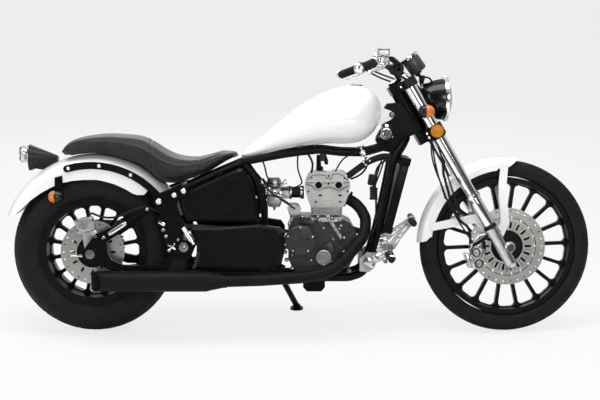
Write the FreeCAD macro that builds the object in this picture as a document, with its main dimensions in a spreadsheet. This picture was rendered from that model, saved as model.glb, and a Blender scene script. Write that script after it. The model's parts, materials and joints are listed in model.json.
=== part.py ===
import FreeCAD, Part
import math
import os
import Sketcher

# Cruiser motorcycle, parked on its side stand. Millimetres.
# Bike frame: +X forward, +Y to the rider's left, +Z up, origin on the ground line under the
# middle of the wheelbase. Every piece is drawn upright in that frame (or, for turned pieces,
# about its own axis) and its Placement then leans the whole machine over onto the stand.

V = FreeCAD.Vector
Rot = FreeCAD.Rotation
Place = FreeCAD.Placement
X, Y, Z = V(1, 0, 0), V(0, 1, 0), V(0, 0, 1)

SIZES = (
    ("wheelbase", 1630, "between the axles"),
    ("rear_reach", 815, "rear axle behind the frame's middle"),
    ("lean_deg", 7, "lean onto the side stand"),
    ("rest_steer_deg", 4.7, "bars turned to the left as parked"),
    ("rake_deg", 30, "steering axis from the vertical"),
    ("fork_offset", 65, "front axle ahead of the steering axis"),
    ("leg_offset", 40, "fork legs ahead of the steering axis"),
    ("leg_spread", 95, "each fork leg from the middle"),
    ("front_tyre_r", 340, "front tyre radius"),
    ("front_tyre_w", 94, "front tyre width"),
    ("front_crown_r", 50, "front tread crown radius"),
    ("front_bead_r", 272, "front rim lip radius"),
    ("rear_tyre_r", 323, "rear tyre radius"),
    ("rear_tyre_w", 200, "rear tyre width"),
    ("rear_crown_r", 130, "rear tread crown radius"),
    ("rear_bead_r", 209, "rear rim lip radius"),
    ("front_window_r", 244, "outer radius of the front wheel's windows"),
    ("rear_window_r", 174, "outer radius of the rear wheel's windows"),
    ("front_spokes", 18, "spokes of the front wheel"),
    ("rear_spokes", 16, "spokes of the rear wheel"),
    ("spoke_w", 14, "spoke width"),
    ("hub_r", 44, "wheel hub radius"),
    ("front_hub_half", 52, "half width of the front hub"),
    ("rear_hub_half", 92, "half width of the rear hub"),
    ("axle_r", 10, "wheel axle radius"),
    ("running", 0.3, "clearance of an axle in its hub"),
    ("disc_r", 152, "front brake disc radius"),
    ("rear_disc_r", 125, "rear brake disc radius"),
    ("disc_t", 5, "brake disc thickness"),
    ("sprocket_r", 104, "rear sprocket tip radius"),
    ("chain_y", 118, "chain line from the middle"),
    ("tube_r", 20.5, "fork inner tube radius"),
    ("sleeve_r", 25, "fork upper tube radius"),
    ("casting_r", 24, "fork bottom casting radius"),
    ("bar_r", 14, "handlebar tube radius at the clamp"),
    ("bar_half", 350, "half width of the handlebar"),
    ("grip_r", 17, "grip radius"),
    ("frame_r", 16, "main frame tube radius"),
    ("rail_r", 12, "seat rail tube radius"),
    ("frame_y", 85, "frame side tubes from the middle"),
    ("muffler_r", 40, "muffler radius"),
    ("pipe_r", 22, "exhaust pipe radius"),
    ("muffler_y", 200, "muffler from the middle"),
    ("fender_wall", 3, "fender sheet and flange thickness"),
    ("rear_fender_r", 379, "rear fender crown radius"),
    ("front_fender_gap", 9, "front fender above the tyre"),
    ("tank_half", 138, "half width of the tank"),
    ("seat_half", 142, "half width of the seat"),
    ("cover_y", 168, "side covers' outer face from the middle"),
    ("stand_r", 12, "side stand leg radius"),
)


class Size(float):
    """A number that also carries the sheet expression it came from."""

    def __new__(cls, value, text):
        made = float.__new__(cls, value)
        made.text = text
        return made

    def _join(self, other, sign, value, swap=False):
        a, b = self.text, getattr(other, "text", repr(float(other)))
        if swap:
            a, b = b, a
        return Size(value, "(%s %s %s)" % (a, sign, b))

    def __add__(self, o):
        return self._join(o, "+", float(self) + float(o))

    __radd__ = __add__

    def __sub__(self, o):
        return self._join(o, "-", float(self) - float(o))

    def __rsub__(self, o):
        return self._join(o, "-", float(o) - float(self), True)

    def __mul__(self, o):
        return self._join(o, "*", float(self) * float(o))

    __rmul__ = __mul__

    def __truediv__(self, o):
        return self._join(o, "/", float(self) / float(o))

    def __neg__(self):
        return Size(-float(self), "(0 - %s)" % self.text)


class Named:
    pass


doc = FreeCAD.newDocument("Cruiser")
sheet = doc.addObject("Spreadsheet::Sheet", "Sizes")
S = Named()
for row, (alias, value, note) in enumerate(SIZES, 1):
    sheet.set("A%d" % row, note)
    sheet.set("B%d" % row, str(value))
    sheet.setAlias("B%d" % row, alias)
    setattr(S, alias, Size(value, "Sizes." + alias))
doc.recompute()

# ---------------------------------------------------------------- where things stand
lean = math.radians(S.lean_deg)
rake = math.radians(S.rake_deg)
steer = math.radians(S.rest_steer_deg)


def rear_axle_height():
    """Axle height square to the ground line that puts the leaned rear tyre on the floor."""
    return S.rear_tyre_r + S.rear_crown_r * (1 / math.cos(lean) - 1)


def front_axle_height():
    """The same in front, with the wheel also turned about the raked steering axis."""
    sink = float(S.fork_offset) * math.sin(rake) * (1 - math.cos(steer))
    side = float(S.fork_offset) * math.sin(steer)
    tilt = math.cos(steer) * math.sin(lean) + math.sin(rake) * math.sin(steer) * math.cos(lean)
    drop = (S.front_tyre_r - S.front_crown_r) * math.sqrt(1 - tilt * tilt) + S.front_crown_r
    return (float(drop) + side * math.sin(lean) + sink * math.cos(lean)) / math.cos(lean)


REAR = V(-S.rear_reach, 0, float(rear_axle_height()))
FRONT = V(S.wheelbase - S.rear_reach, 0, front_axle_height())
NOSE = float(FRONT.x) - 815.0


def ahead(x):
    """The nose of the frame follows the front axle; nothing behind x = 85 moves."""
    return x + NOSE * min(1.0, max(0.0, (x - 85.0) / 105.0))


def drawn_out(points):
    return [(ahead(p[0]),) + tuple(p[1:]) for p in points]
UP_FORK = V(-math.sin(rake), 0, math.cos(rake))
FORE_FORK = V(math.cos(rake), 0, math.sin(rake))


def fork(x, y, z):
    """A point in fork coordinates: z up the legs from the axle, x square to them."""
    return FRONT + FORE_FORK * float(x) + V(0, float(y), 0) + UP_FORK * float(z)


STEER_PIVOT = fork(-S.fork_offset, 0, 0)
# How far the leaned machine is moved sideways, so that its box is centred on the origin.
SIDE_SHIFT = -111.4
ROW = Place(V(0, SIDE_SHIFT, 0), Rot(X, -math.degrees(lean)))
TURN = Place(STEER_PIVOT, Rot(UP_FORK, math.degrees(steer))) * Place(-STEER_PIVOT, Rot())
GROUPS = {"chassis": ROW, "steering": ROW * TURN}
FORK_TURN = Rot(Y, -math.degrees(rake))
NODES = []


# ---------------------------------------------------------------- helpers: features
def bind(thing, prop, value):
    if isinstance(value, Size):
        thing.setExpression(prop, value.text)
    else:
        setattr(thing, prop, value)


def facing(direction):
    return Rot(Z, V(*direction))


def cylinder(name, radius, height, base, direction=Y):
    """A solid cylinder that starts at base and runs along direction."""
    c = doc.addObject("Part::Cylinder", name)
    bind(c, "Radius", radius)
    bind(c, "Height", height)
    c.Placement = Place(V(*base), facing(direction))
    return c


def cone(name, r1, r2, height, base, direction=Y):
    c = doc.addObject("Part::Cone", name)
    bind(c, "Radius1", r1)
    bind(c, "Radius2", r2)
    bind(c, "Height", height)
    c.Placement = Place(V(*base), facing(direction))
    return c


def box(name, size, middle, turn=Rot()):
    """A block of size (x, y, z) about its middle."""
    b = doc.addObject("Part::Box", name)
    for prop, value in zip(("Length", "Width", "Height"), size):
        bind(b, prop, value)
    half = V(*[float(v) / 2 for v in size])
    b.Placement = Place(V(*middle), turn) * Place(-half, Rot())
    return b


def solid(name, shape):
    f = doc.addObject("Part::Feature", name)
    f.Shape = shape
    return f


def fuse(name, parts):
    f = doc.addObject("Part::MultiFuse", name)
    f.Shapes = parts
    return f


def cut(name, base, tool):
    c = doc.addObject("Part::Cut", name)
    c.Base, c.Tool = base, tool
    return c


def group_of(name, parts):
    g = doc.addObject("Part::Compound", name)
    g.Links = parts
    return g


def node(label, thing, group="chassis"):
    """Name a finished piece and lean it over with its group."""
    thing.Label = label
    thing.Placement = GROUPS[group] * thing.Placement
    NODES.append(thing)
    return thing


# ---------------------------------------------------------------- helpers: sketches
def draw(sketch, path):
    """A closed outline. A corner is (x, y), or (x, y, r) where an arc of radius r runs to the
    next corner, with r positive for a left turn. Sizes are bound to the sheet."""
    count, runs = len(path), []
    for i, corner in enumerate(path):
        a = V(float(corner[0]), float(corner[1]), 0)
        b = V(float(path[(i + 1) % count][0]), float(path[(i + 1) % count][1]), 0)
        if len(corner) == 3:
            r, chord = abs(float(corner[2])), b - a
            off = V(-chord.y, chord.x, 0).normalize() * math.sqrt(max(r * r - chord.Length ** 2 / 4, 0))
            c = (a + b) * 0.5 + (off if corner[2] > 0 else -off)
            ends = (a, b) if corner[2] > 0 else (b, a)
            t1, t2 = (math.atan2(p.y - c.y, p.x - c.x) for p in ends)
            ring = Part.Circle(c, Z, r)
            runs.append((sketch.addGeometry(Part.ArcOfCircle(ring, t1, t2), False),
                         (1, 2) if corner[2] > 0 else (2, 1)))
            k = sketch.addConstraint(Sketcher.Constraint("Radius", runs[-1][0], r))
            if isinstance(corner[2], Size):
                bent = corner[2] if corner[2] > 0 else -corner[2]
                sketch.setExpression("Constraints[%d]" % k, bent.text)
        else:
            runs.append((sketch.addGeometry(Part.LineSegment(a, b), False), (1, 2)))
    for i, (geo, ends) in enumerate(runs):
        nxt, nxt_ends = runs[(i + 1) % count]
        sketch.addConstraint(Sketcher.Constraint("Coincident", geo, ends[1], nxt, nxt_ends[0]))
        for kind, value, axis in (("DistanceX", path[i][0], -2), ("DistanceY", path[i][1], -1)):
            if float(value) == 0:
                sketch.addConstraint(Sketcher.Constraint("PointOnObject", geo, ends[0], axis))
                continue
            k = sketch.addConstraint(
                Sketcher.Constraint(kind, -1, 1, geo, ends[0], float(value)))
            if isinstance(value, Size):
                sketch.setExpression("Constraints[%d]" % k, value.text)


def origin_part(body, role):
    return [o for o in body.Origin.OriginFeatures if o.Role == role][0]


def sketch_on(body, name, role, path):
    s = body.newObject("Sketcher::SketchObject", name)
    s.AttachmentSupport = (origin_part(body, role), [""])
    s.MapMode = "FlatFace"
    draw(s, path)
    return s


def turned(name, path):
    """A body turned about its own Z axis from a half section of (radius, height) corners."""
    body = doc.addObject("PartDesign::Body", name)
    s = sketch_on(body, name + "_section", "XZ_Plane", path)
    rev = body.newObject("PartDesign::Revolution", name + "_turn")
    rev.Profile = s
    rev.ReferenceAxis = (s, ["V_Axis"])
    rev.Angle = 360
    return body


def padded(name, path, thick, role="XY_Plane"):
    """A plate of an outline, centred on its sketch plane."""
    body = doc.addObject("PartDesign::Body", name)
    s = sketch_on(body, name + "_outline", role, path)
    pad = body.newObject("PartDesign::Pad", name + "_pad")
    pad.Profile = s
    pad.SideType = "Symmetric"
    bind(pad, "Length", thick)
    return body


def pocket(body, name, path, count=1, role="XY_Plane"):
    """Cut an outline right through a body, then repeat it about Z."""
    s = sketch_on(body, name + "_outline", role, path)
    p = body.newObject("PartDesign::Pocket", name)
    p.Profile = s
    p.Type = "ThroughAll"
    p.SideType = "Symmetric"
    if count > 1:
        ring = body.newObject("PartDesign::PolarPattern", name + "_ring")
        ring.Originals = [p]
        ring.Axis = (origin_part(body, "Z_Axis"), [""])
        ring.Angle = 360
        bind(ring, "Occurrences", count)
        body.Tip = ring
    return body


def place_on(thing, at, direction=Y, turn_deg=0.0):
    """Put a body's own Z axis along direction, with its origin at a point."""
    thing.Placement = Place(V(*at), facing(direction) * Rot(Z, turn_deg))
    return thing


# ---------------------------------------------------------------- helpers: free shapes
def poly_wire(points):
    pts = [V(*p) for p in points]
    return Part.makePolygon(pts + [pts[0]])


def side_plate(outline, y0, y1):
    """A side outline of (x, z) corners, filled and thickened from y0 to y1."""
    face = Part.Face(poly_wire([(x, float(y0), z) for x, z in outline]))
    return face.extrude(V(0, float(y1) - float(y0), 0))


def tube(points, radius, bend, hollow=0.0):
    """A round bar through points, with an arc of radius bend at each corner."""
    pts = [V(*p) for p in points]
    edges, at = [], pts[0]
    for i in range(1, len(pts) - 1):
        a, b, c = pts[i - 1], pts[i], pts[i + 1]
        u, w = (b - a).normalize(), (c - b).normalize()
        turn = u.getAngle(w)
        if turn < 0.01:
            continue
        reach = min(float(bend) * math.tan(turn / 2), 0.48 * (b - a).Length, 0.48 * (c - b).Length)
        r = reach / math.tan(turn / 2)
        s, e = b - u * reach, b + w * reach
        inward = (w - u).normalize()
        mid = b + inward * (r / math.cos(turn / 2) - r)
        if (s - at).Length > 1e-4:
            edges.append(Part.LineSegment(at, s).toShape())
        edges.append(Part.Arc(s, mid, e).toShape())
        at = e
    edges.append(Part.LineSegment(at, pts[-1]).toShape())
    path = Part.Wire(edges)
    start = (pts[1] - pts[0]).normalize()

    def swept(r):
        ring = Part.Wire(Part.makeCircle(float(r), pts[0], start))
        return path.makePipeShell([ring], True, False)

    body = swept(radius)
    return body.cut(swept(hollow)) if hollow else body


def oval(x, half, z0, z1, mid=0.5, square=2.6, y0=0.0):
    """A closed section across the bike at x: eight arcs on a squared oval whose widest point
    lies a share mid of the way up."""
    zc = z0 + (z1 - z0) * mid
    pts = []
    for k in range(16):
        t = math.radians(22.5 * k)
        c, s = math.cos(t), math.sin(t)
        px = math.copysign(abs(c) ** (2 / square), c) * half
        pz = math.copysign(abs(s) ** (2 / square), s) * ((z1 - zc) if s > 0 else (zc - z0))
        pts.append(V(x, y0 + px, zc + pz))
    arcs = []
    for k in range(0, 16, 2):
        a, b, c = pts[k], pts[k + 1], pts[(k + 2) % 16]
        arcs.append(Part.Arc(a, b, c).toShape())
    return Part.Wire(arcs)


def loft(sections, ruled=False):
    return Part.makeLoft(sections, True, ruled)


def between(table, x):
    """Straight reading between the rows of a table of (x, value)."""
    rows = sorted(table)
    if x <= rows[0][0]:
        return rows[0][1]
    for (x0, v0), (x1, v1) in zip(rows, rows[1:]):
        if x <= x1:
            return v0 + (v1 - v0) * (x - x0) / (x1 - x0)
    return rows[-1][1]


def mirrored(points):
    return [(p[0], -p[1], p[2]) for p in points]


# ---------------------------------------------------------------- wheels
def tyre(name, r, crown, reach_share, edge, bead_r, bead_half, side_r, inner_r, inner_edge):
    """A hollow tyre about Z: tread arc, rounded sidewalls and two beads."""
    drop = 1 - math.sqrt(1 - reach_share * reach_share)
    tread = (r - crown * drop, crown * reach_share)
    deep = edge
    seat = bead_r - 9
    path = [
        (tread[0], -tread[1], crown),
        (tread[0], tread[1], side_r),
        (bead_r + 1, bead_half + 3),
        (bead_r + 1, bead_half),
        (seat, bead_half),
        (seat, bead_half - 10),
        (bead_r + 6, bead_half - 9),
        (r - deep, inner_edge, -inner_r),
        (r - deep, -inner_edge),
        (bead_r + 6, -(bead_half - 9)),
        (seat, -(bead_half - 10)),
        (seat, -bead_half),
        (bead_r + 1, -bead_half),
        (bead_r + 1, -(bead_half + 3), side_r),
    ]
    return turned(name, path)


def rim(name, hub_half, lip_r, lip_half, bead_half, web, barrel_r):
    """Cast rim about Z: hub with end flanges, flat web and barrel with two lips."""
    bore, flange = S.axle_r + S.running, S.hub_r + 30
    low = lip_r - 9.3
    right = [
        (bore, -hub_half), (flange, -hub_half), (flange, -(hub_half - 8)),
        (S.hub_r, -(hub_half - 16)), (S.hub_r, -web), (barrel_r, -web),
        (barrel_r + 4, -lip_half), (lip_r, -lip_half), (lip_r, -(bead_half + 0.4)),
        (low, -(bead_half + 0.4)), (low - 7, -(bead_half - 18)),
    ]
    left = [(a, -b) for a, b in reversed(right)]
    return turned(name, right + left)


def windows(body, name, count, inner, outer, corner):
    """Windows between the spokes, rounded at the barrel."""
    slope = math.tan(math.pi / float(count))
    half = S.spoke_w / (2 * math.cos(math.pi / float(count)))
    low, high = inner * slope - half, (outer - corner) * slope - half
    top = high - corner * 0.86
    path = [(inner, -low), (outer - corner, -high, corner * 1.02), (outer, -top), (outer, top, corner * 1.02),
            (outer - corner, high), (inner, low)]
    return pocket(body, name, path, count)


front_bead_half, rear_bead_half = S.front_tyre_w / 2 - 13, S.rear_tyre_w / 2 - 22
t = tyre("front_tyre_body", S.front_tyre_r, S.front_crown_r, 0.866, 32, S.front_bead_r,
         front_bead_half, 38.0, 40.25, 36)
node("front_tyre", place_on(t, FRONT), "steering")
w = rim("front_rim_body", S.front_hub_half, S.front_bead_r, front_bead_half + 6, front_bead_half,
        11, S.front_window_r + 4)
windows(w, "front_windows", S.front_spokes, 80, S.front_window_r, 17)
node("front_rim", place_on(w, FRONT, Y, 8.0), "steering")

t = tyre("rear_tyre_body", S.rear_tyre_r, S.rear_crown_r, 0.677, 40, S.rear_bead_r,
         rear_bead_half, 60.0, 117.5, 76)
node("rear_tyre", place_on(t, REAR))
w = rim("rear_rim_body", S.rear_hub_half, S.rear_bead_r, rear_bead_half + 6, rear_bead_half,
        13, S.rear_window_r + 4)
windows(w, "rear_windows", S.rear_spokes, 78, S.rear_window_r, 15)
node("rear_rim", place_on(w, REAR))


def brake_disc(name, r, bore, slots, slot_in, slot_out, hole_r, holes):
    """Rotor with a scribed ring, carrier slots and cooling holes, outer face towards +Z."""
    h = S.disc_t / 2
    ring = r - 25
    body = turned(name, [
        (bore, -h), (r, -h), (r, h), (ring + 1.5, h), (ring + 1.5, h - 1.2), (ring - 1.5, h - 1.2),
        (ring - 1.5, h), (bore, h)])
    pocket(body, name + "_slots", [(slot_in, -4.5), (slot_out, -4.5), (slot_out, 4.5), (slot_in, 4.5)],
           slots)
    s = hole_r * 0.7071
    at = r - 12
    pocket(body, name + "_holes", [(at - s, -s, hole_r), (at + s, -s, hole_r), (at + s, s, hole_r),
                                   (at - s, s, hole_r)], holes)
    return body


front_disc_y = S.front_hub_half + 0.3 + S.disc_t / 2
d = brake_disc("front_disc_body", S.disc_r, 64, 18, 71, 97, 3.5, 30)
node("front_disc", place_on(d, FRONT - Y * float(front_disc_y), -Y), "steering")
rear_disc_y = S.rear_hub_half + 0.3 + S.disc_t / 2
d = brake_disc("rear_disc_body", S.rear_disc_r, 62, 12, 70, 90, 3.5, 24)
node("rear_disc", place_on(d, REAR - Y * float(rear_disc_y), -Y))

teeth = 42
sp = turned("sprocket_body", [(52, -4), (S.sprocket_r, -4), (S.sprocket_r, 4), (52, 4)])
pocket(sp, "tooth_gaps", [(S.sprocket_r - 7, -2.5), (S.sprocket_r + 4, -5.2), (S.sprocket_r + 4, 5.2),
                          (S.sprocket_r - 7, 2.5)], teeth)
pocket(sp, "sprocket_windows", [(66, -12), (86, -17), (86, 17), (66, 12)], 6)
carrier = turned("carrier_body", [(S.axle_r + S.running, 0), (60, 0), (60, S.chain_y - S.rear_hub_half - 4.3),
                                  (S.axle_r + S.running, S.chain_y - S.rear_hub_half - 4.3)])
place_on(sp, REAR + Y * float(S.chain_y))
place_on(carrier, REAR + Y * float(S.rear_hub_half + 0.3))
node("rear_sprocket", fuse("rear_sprocket_set", [sp, carrier]))

# ---------------------------------------------------------------- front fork
LEG_X = S.leg_offset - S.fork_offset
UPPER, LOWER = 757.0, 541.0
UPPER_T, LOWER_T = 36.0, 50.0
SLEEVE_END, CASTING_TOP, CASTING_END = 242.0, 100.0, -62.0
STEM_R, BUTTON = 17.0, 3.0


def both(make):
    """The same piece on both sides of the machine, right one first."""
    return [make(-1, "right"), make(1, "left")]


def clamp(name, level, thick, stem_hole=True):
    """Fork clamp: a waisted plate with a boss at the stem and one round each leg."""
    a, b, c = S.leg_offset, S.leg_spread, S.sleeve_r + 5
    half = [(-30, 34), (-6, 46), (a - c - 3, b - 16), (a - c - 3, b + 10), (a - c * 0.5, b + c + 2),
            (a + c * 0.5, b + c + 2), (a + c + 3, b + 10), (a + c + 3, b - 16), (62, 50)]
    path = half + [(x, -y) for x, y in reversed(half)]
    body = padded(name, path, thick)
    body.Placement = Place(fork(-S.fork_offset, 0, level), FORK_TURN)
    holes = [cylinder("%s_bore_%s" % (name, side), S.sleeve_r + 0.05, thick + 20,
                      fork(LEG_X, sign * S.leg_spread, level - thick / 2 - 10), UP_FORK)
             for sign, side in ((-1, "right"), (1, "left"))]
    if stem_hole:
        holes.append(cylinder(name + "_stem_bore", STEM_R + 0.05, thick + 20,
                              fork(-S.fork_offset, 0, level - thick / 2 - 10), UP_FORK))
    return cut(name + "_cut", body, fuse(name + "_bores", holes))


stem = fuse("lower_clamp_set", [
    clamp("lower_yoke", LOWER, LOWER_T, False),
    cylinder("stem_bar", STEM_R, UPPER - LOWER + UPPER_T / 2 + LOWER_T / 2 + 6,
             fork(-S.fork_offset, 0, LOWER - LOWER_T / 2), UP_FORK),
    cylinder("stem_nut", 21, 10, fork(-S.fork_offset, 0, UPPER + UPPER_T / 2 + 0.3), UP_FORK)])
node("lower_clamp", stem, "steering")
node("upper_clamp", clamp("upper_yoke", UPPER, UPPER_T), "steering")


def sleeve(sign, side):
    y = sign * S.leg_spread
    top = UPPER + UPPER_T / 2 + BUTTON
    return fuse("sleeve_" + side, [
        cylinder("sleeve_tube_" + side, S.sleeve_r, top - SLEEVE_END, fork(LEG_X, y, SLEEVE_END), UP_FORK),
        cylinder("sleeve_ring_" + side, S.sleeve_r + 4, 12, fork(LEG_X, y, SLEEVE_END - 4), UP_FORK),
        cylinder("sleeve_cap_" + side, 15, 9, fork(LEG_X, y, top - 1), UP_FORK)])


def slider(sign, side):
    y = sign * S.leg_spread
    return cylinder("slider_" + side, S.tube_r, SLEEVE_END - 4 - CASTING_TOP - 0.4,
                    fork(LEG_X, y, CASTING_TOP + 0.2), UP_FORK)


def casting(sign, side):
    y = sign * S.leg_spread
    lug = cylinder("lug_" + side, 22, 34, fork(0, y - 17, 0), Y)
    web = box("lug_web_" + side, (30, 30, 40), fork(LEG_X / 2, y, -2), FORK_TURN)
    bore = cylinder("lug_bore_" + side, S.axle_r + 0.05, 80, fork(0, y - 40, 0), Y)
    body = fuse("casting_set_" + side, [
        cylinder("casting_tube_" + side, S.casting_r, CASTING_TOP - 30 - CASTING_END,
                 fork(LEG_X, y, CASTING_END), UP_FORK),
        cylinder("casting_seal_" + side, S.casting_r + 3, 30, fork(LEG_X, y, CASTING_TOP - 30), UP_FORK),
        cone("casting_foot_" + side, 16, S.casting_r, 14, fork(LEG_X, y, CASTING_END - 14), UP_FORK),
        lug, web])
    return cut("casting_" + side, body, bore)


node("fork_sleeves", group_of("sleeves", both(sleeve)), "steering")
node("fork_sliders", group_of("sliders", both(slider)), "steering")
node("fork_castings", group_of("castings", both(casting)), "steering")
axle_half = S.leg_spread + 30
node("front_axle", fuse("front_axle_set", [
    cylinder("front_axle_bar", S.axle_r, axle_half * 2, FRONT - Y * float(axle_half)),
    cylinder("front_axle_head", 15, 7, FRONT - Y * float(axle_half + 6.5)),
    cylinder("front_axle_nut", 15, 9, FRONT + Y * float(axle_half - 0.5))]), "steering")

# ---------------------------------------------------------------- front brake caliper
CAL_AT = FRONT + V(-125, -float(front_disc_y), -43)
slot = cylinder("caliper_slot", S.disc_r + 4, S.disc_t + 4,
                FRONT - Y * float(front_disc_y + S.disc_t / 2 + 2))
cal = cut("front_caliper_set", fuse("front_caliper_block", [
    box("caliper_body", (64, 66, 88), CAL_AT + V(0, -3, 0), Rot(Y, 19)),
    cylinder("caliper_pot_a", 17, 10, CAL_AT + V(-6, -44, 22)),
    cylinder("caliper_pot_b", 17, 10, CAL_AT + V(6, -44, -22)),
    solid("caliper_arm", side_plate([(FRONT.x - 158, FRONT.z + 4), (FRONT.x - 120, FRONT.z + 16),
                                     (FRONT.x - 75, FRONT.z + 62), (FRONT.x - 62, FRONT.z + 40),
                                     (FRONT.x - 88, FRONT.z - 8), (FRONT.x - 96, FRONT.z - 50),
                                     (FRONT.x - 120, FRONT.z - 70)],
                                    -float(front_disc_y) - 12, -float(front_disc_y) - 24))]), slot)
legs_cut = cylinder("caliper_leg_room", S.casting_r + 0.3, 190, fork(LEG_X, -S.leg_spread, CASTING_END - 20), UP_FORK)
legs_seal = cylinder("caliper_seal_room", S.casting_r + 3.3, 31, fork(LEG_X, -S.leg_spread, CASTING_TOP - 30.5),
                     UP_FORK)
node("front_caliper", cut("front_caliper_cut", cal, fuse("caliper_leg_cut", [legs_cut, legs_seal])), "steering")

# ---------------------------------------------------------------- front fender and its stays
ff_r = S.front_tyre_r + S.front_fender_gap + S.fender_wall
ff_h = S.front_tyre_w / 2 + 11
fw = S.fender_wall
rev_angle, rev_start = 95.5, 82.5
body = doc.addObject("PartDesign::Body", "front_fender_body")
sec = sketch_on(body, "front_fender_section", "XZ_Plane", [
    (ff_r - 50, -ff_h), (ff_r - 27, -ff_h), (ff_r - 14, -(ff_h - 8), 92.0), (ff_r - 14, ff_h - 8),
    (ff_r - 27, ff_h), (ff_r - 50, ff_h), (ff_r - 50, ff_h - fw), (ff_r - 27, ff_h - fw),
    (ff_r - 16, ff_h - 10, -89.0), (ff_r - 16, -(ff_h - 10)), (ff_r - 27, -(ff_h - fw)),
    (ff_r - 50, -(ff_h - fw))])
rev = body.newObject("PartDesign::Revolution", "front_fender_turn")
rev.Profile, rev.ReferenceAxis, rev.Angle = sec, (sec, ["V_Axis"]), rev_angle
place_on(body, FRONT, -Y, rev_start)
nose = solid("fender_nose_cut", side_plate([
    (FRONT.x + 60, FRONT.z + 353), (FRONT.x + 60, FRONT.z + 270), (FRONT.x - 60, FRONT.z + 270),
    (FRONT.x - 38, FRONT.z + 306), (FRONT.x + 10, FRONT.z + 314), (FRONT.x + 38, FRONT.z + 338)], -90, 90))
tail = solid("fender_tail_cut", side_plate([
    (FRONT.x - 250, FRONT.z + 40), (FRONT.x - 305, FRONT.z + 38), (FRONT.x - 322, FRONT.z + 22),
    (FRONT.x - 354, FRONT.z + 14), (FRONT.x - 354, FRONT.z - 20), (FRONT.x - 250, FRONT.z - 20)], -90, 90))
node("front_fender", cut("front_fender_cut", body, fuse("front_fender_ends", [nose, tail])), "steering")

STAY_T = 3.0


def stay(sign, side):
    """Flat stay from the fender skirt to the fork casting, on one side."""
    y0 = float(front_disc_y + S.disc_t / 2) + 5.3
    y1 = y0 + STAY_T
    reach = float(S.leg_spread - S.casting_r) - y1
    fore = [(-27, 332), (3, 332), (-4, 250), (-6, 190), (2, 150), (6, 90), (-24, 22), (-56, 22), (-54, 50),
            (-28, 96), (-30, 150), (-36, 190), (-36, 250)]
    behind = [(-306, 92), (-306, 62), (-130, 92), (-84, 40), (-40, 24), (-38, 60), (-112, 132)]
    parts = []
    for i, run in enumerate((fore, behind)):
        plate = side_plate([(FRONT.x + x, FRONT.z + z) for x, z in run], sign * y0, sign * y1)
        parts.append(solid("stay_%s_%d" % (side, i), plate))
    for k, (x, z) in enumerate(((-12, 321), (-299, 76))):
        at = V(FRONT.x + x, sign * (float(ff_h) + 0.3), FRONT.z + z)
        parts.append(cylinder("stay_bolt_%s_%d" % (side, k), 8, y1 - float(ff_h) + 2, at, V(0, sign, 0)))
    at = fork(LEG_X + 8, sign * y1 * 0.999, 52)
    parts.append(cylinder("stay_boss_" + side, 9, reach + 6, (at.x, sign * (y1 - 0.5), at.z), V(0, sign, 0)))
    whole = fuse("stay_set_" + side, parts)
    y = sign * S.leg_spread
    tool = fuse("stay_leg_room_" + side, [
        cylinder("stay_leg_low_" + side, S.casting_r + 0.3, 200, fork(LEG_X, y, CASTING_END - 20), UP_FORK),
        cylinder("stay_leg_high_" + side, S.casting_r + 3.3, 80, fork(LEG_X, y, CASTING_TOP - 30.5), UP_FORK)])
    return cut("stay_" + side, whole, tool)


node("fender_stays", group_of("stays", both(stay)), "steering")

# ---------------------------------------------------------------- handlebar and what it carries
BAR_AT = V(FRONT.x - 435, 0, 1041)
BAR_END = S.bar_half - 5


def bar_side(sign):
    return [(BAR_AT.x, sign * 70, BAR_AT.z), (BAR_AT.x - 4, sign * 106, BAR_AT.z + 13),
            (BAR_AT.x - 40, sign * 170, BAR_AT.z + 32), (BAR_AT.x - 98, sign * 224, BAR_AT.z + 20),
            (BAR_AT.x - 183, sign * BAR_END, BAR_AT.z - 12)]


bar_tube = tube(list(reversed(bar_side(-1))) + bar_side(1), 11.1, 60)
node("handlebar", solid("handlebar_tube", bar_tube), "steering")
risers = []
for sign, side in ((-1, "right"), (1, "left")):
    foot = fork(-26, sign * 42, UPPER + UPPER_T / 2 + 0.2)
    way = V(BAR_AT.x, sign * 42, BAR_AT.z) - foot
    risers.append(cut("riser_" + side, fuse("riser_set_" + side, [
        cylinder("riser_post_" + side, 15, way.Length, foot, way),
        cylinder("riser_eye_" + side, 22, 34, V(BAR_AT.x, sign * 42 - 17, BAR_AT.z))]),
        cylinder("riser_bore_" + side, 11.15, 60, V(BAR_AT.x, sign * 42 - 30, BAR_AT.z))))
node("bar_risers", group_of("risers", risers), "steering")


def along_grip(sign, share):
    """A point on the straight grip run of the bar, counted from its inner bend."""
    a, b = [V(*p) for p in bar_side(sign)[-2:]]
    return a + (b - a) * share, (b - a).normalize()


def grip(sign, side):
    at, way = along_grip(sign, 0.30)
    end, _ = along_grip(sign, 1.0)
    run = (end - at).Length
    skin = cut("grip_" + side, cylinder("grip_skin_" + side, S.grip_r, run + 0.3, at, way),
               cylinder("grip_core_" + side, 11.15, run + 10.1, at - way * 10, way))
    return fuse("grip_set_" + side, [skin, cylinder("bar_end_" + side, S.grip_r - 1, 18, end + way * 0.2, way)])


node("grips", group_of("grip_pair", both(grip)), "steering")


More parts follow.
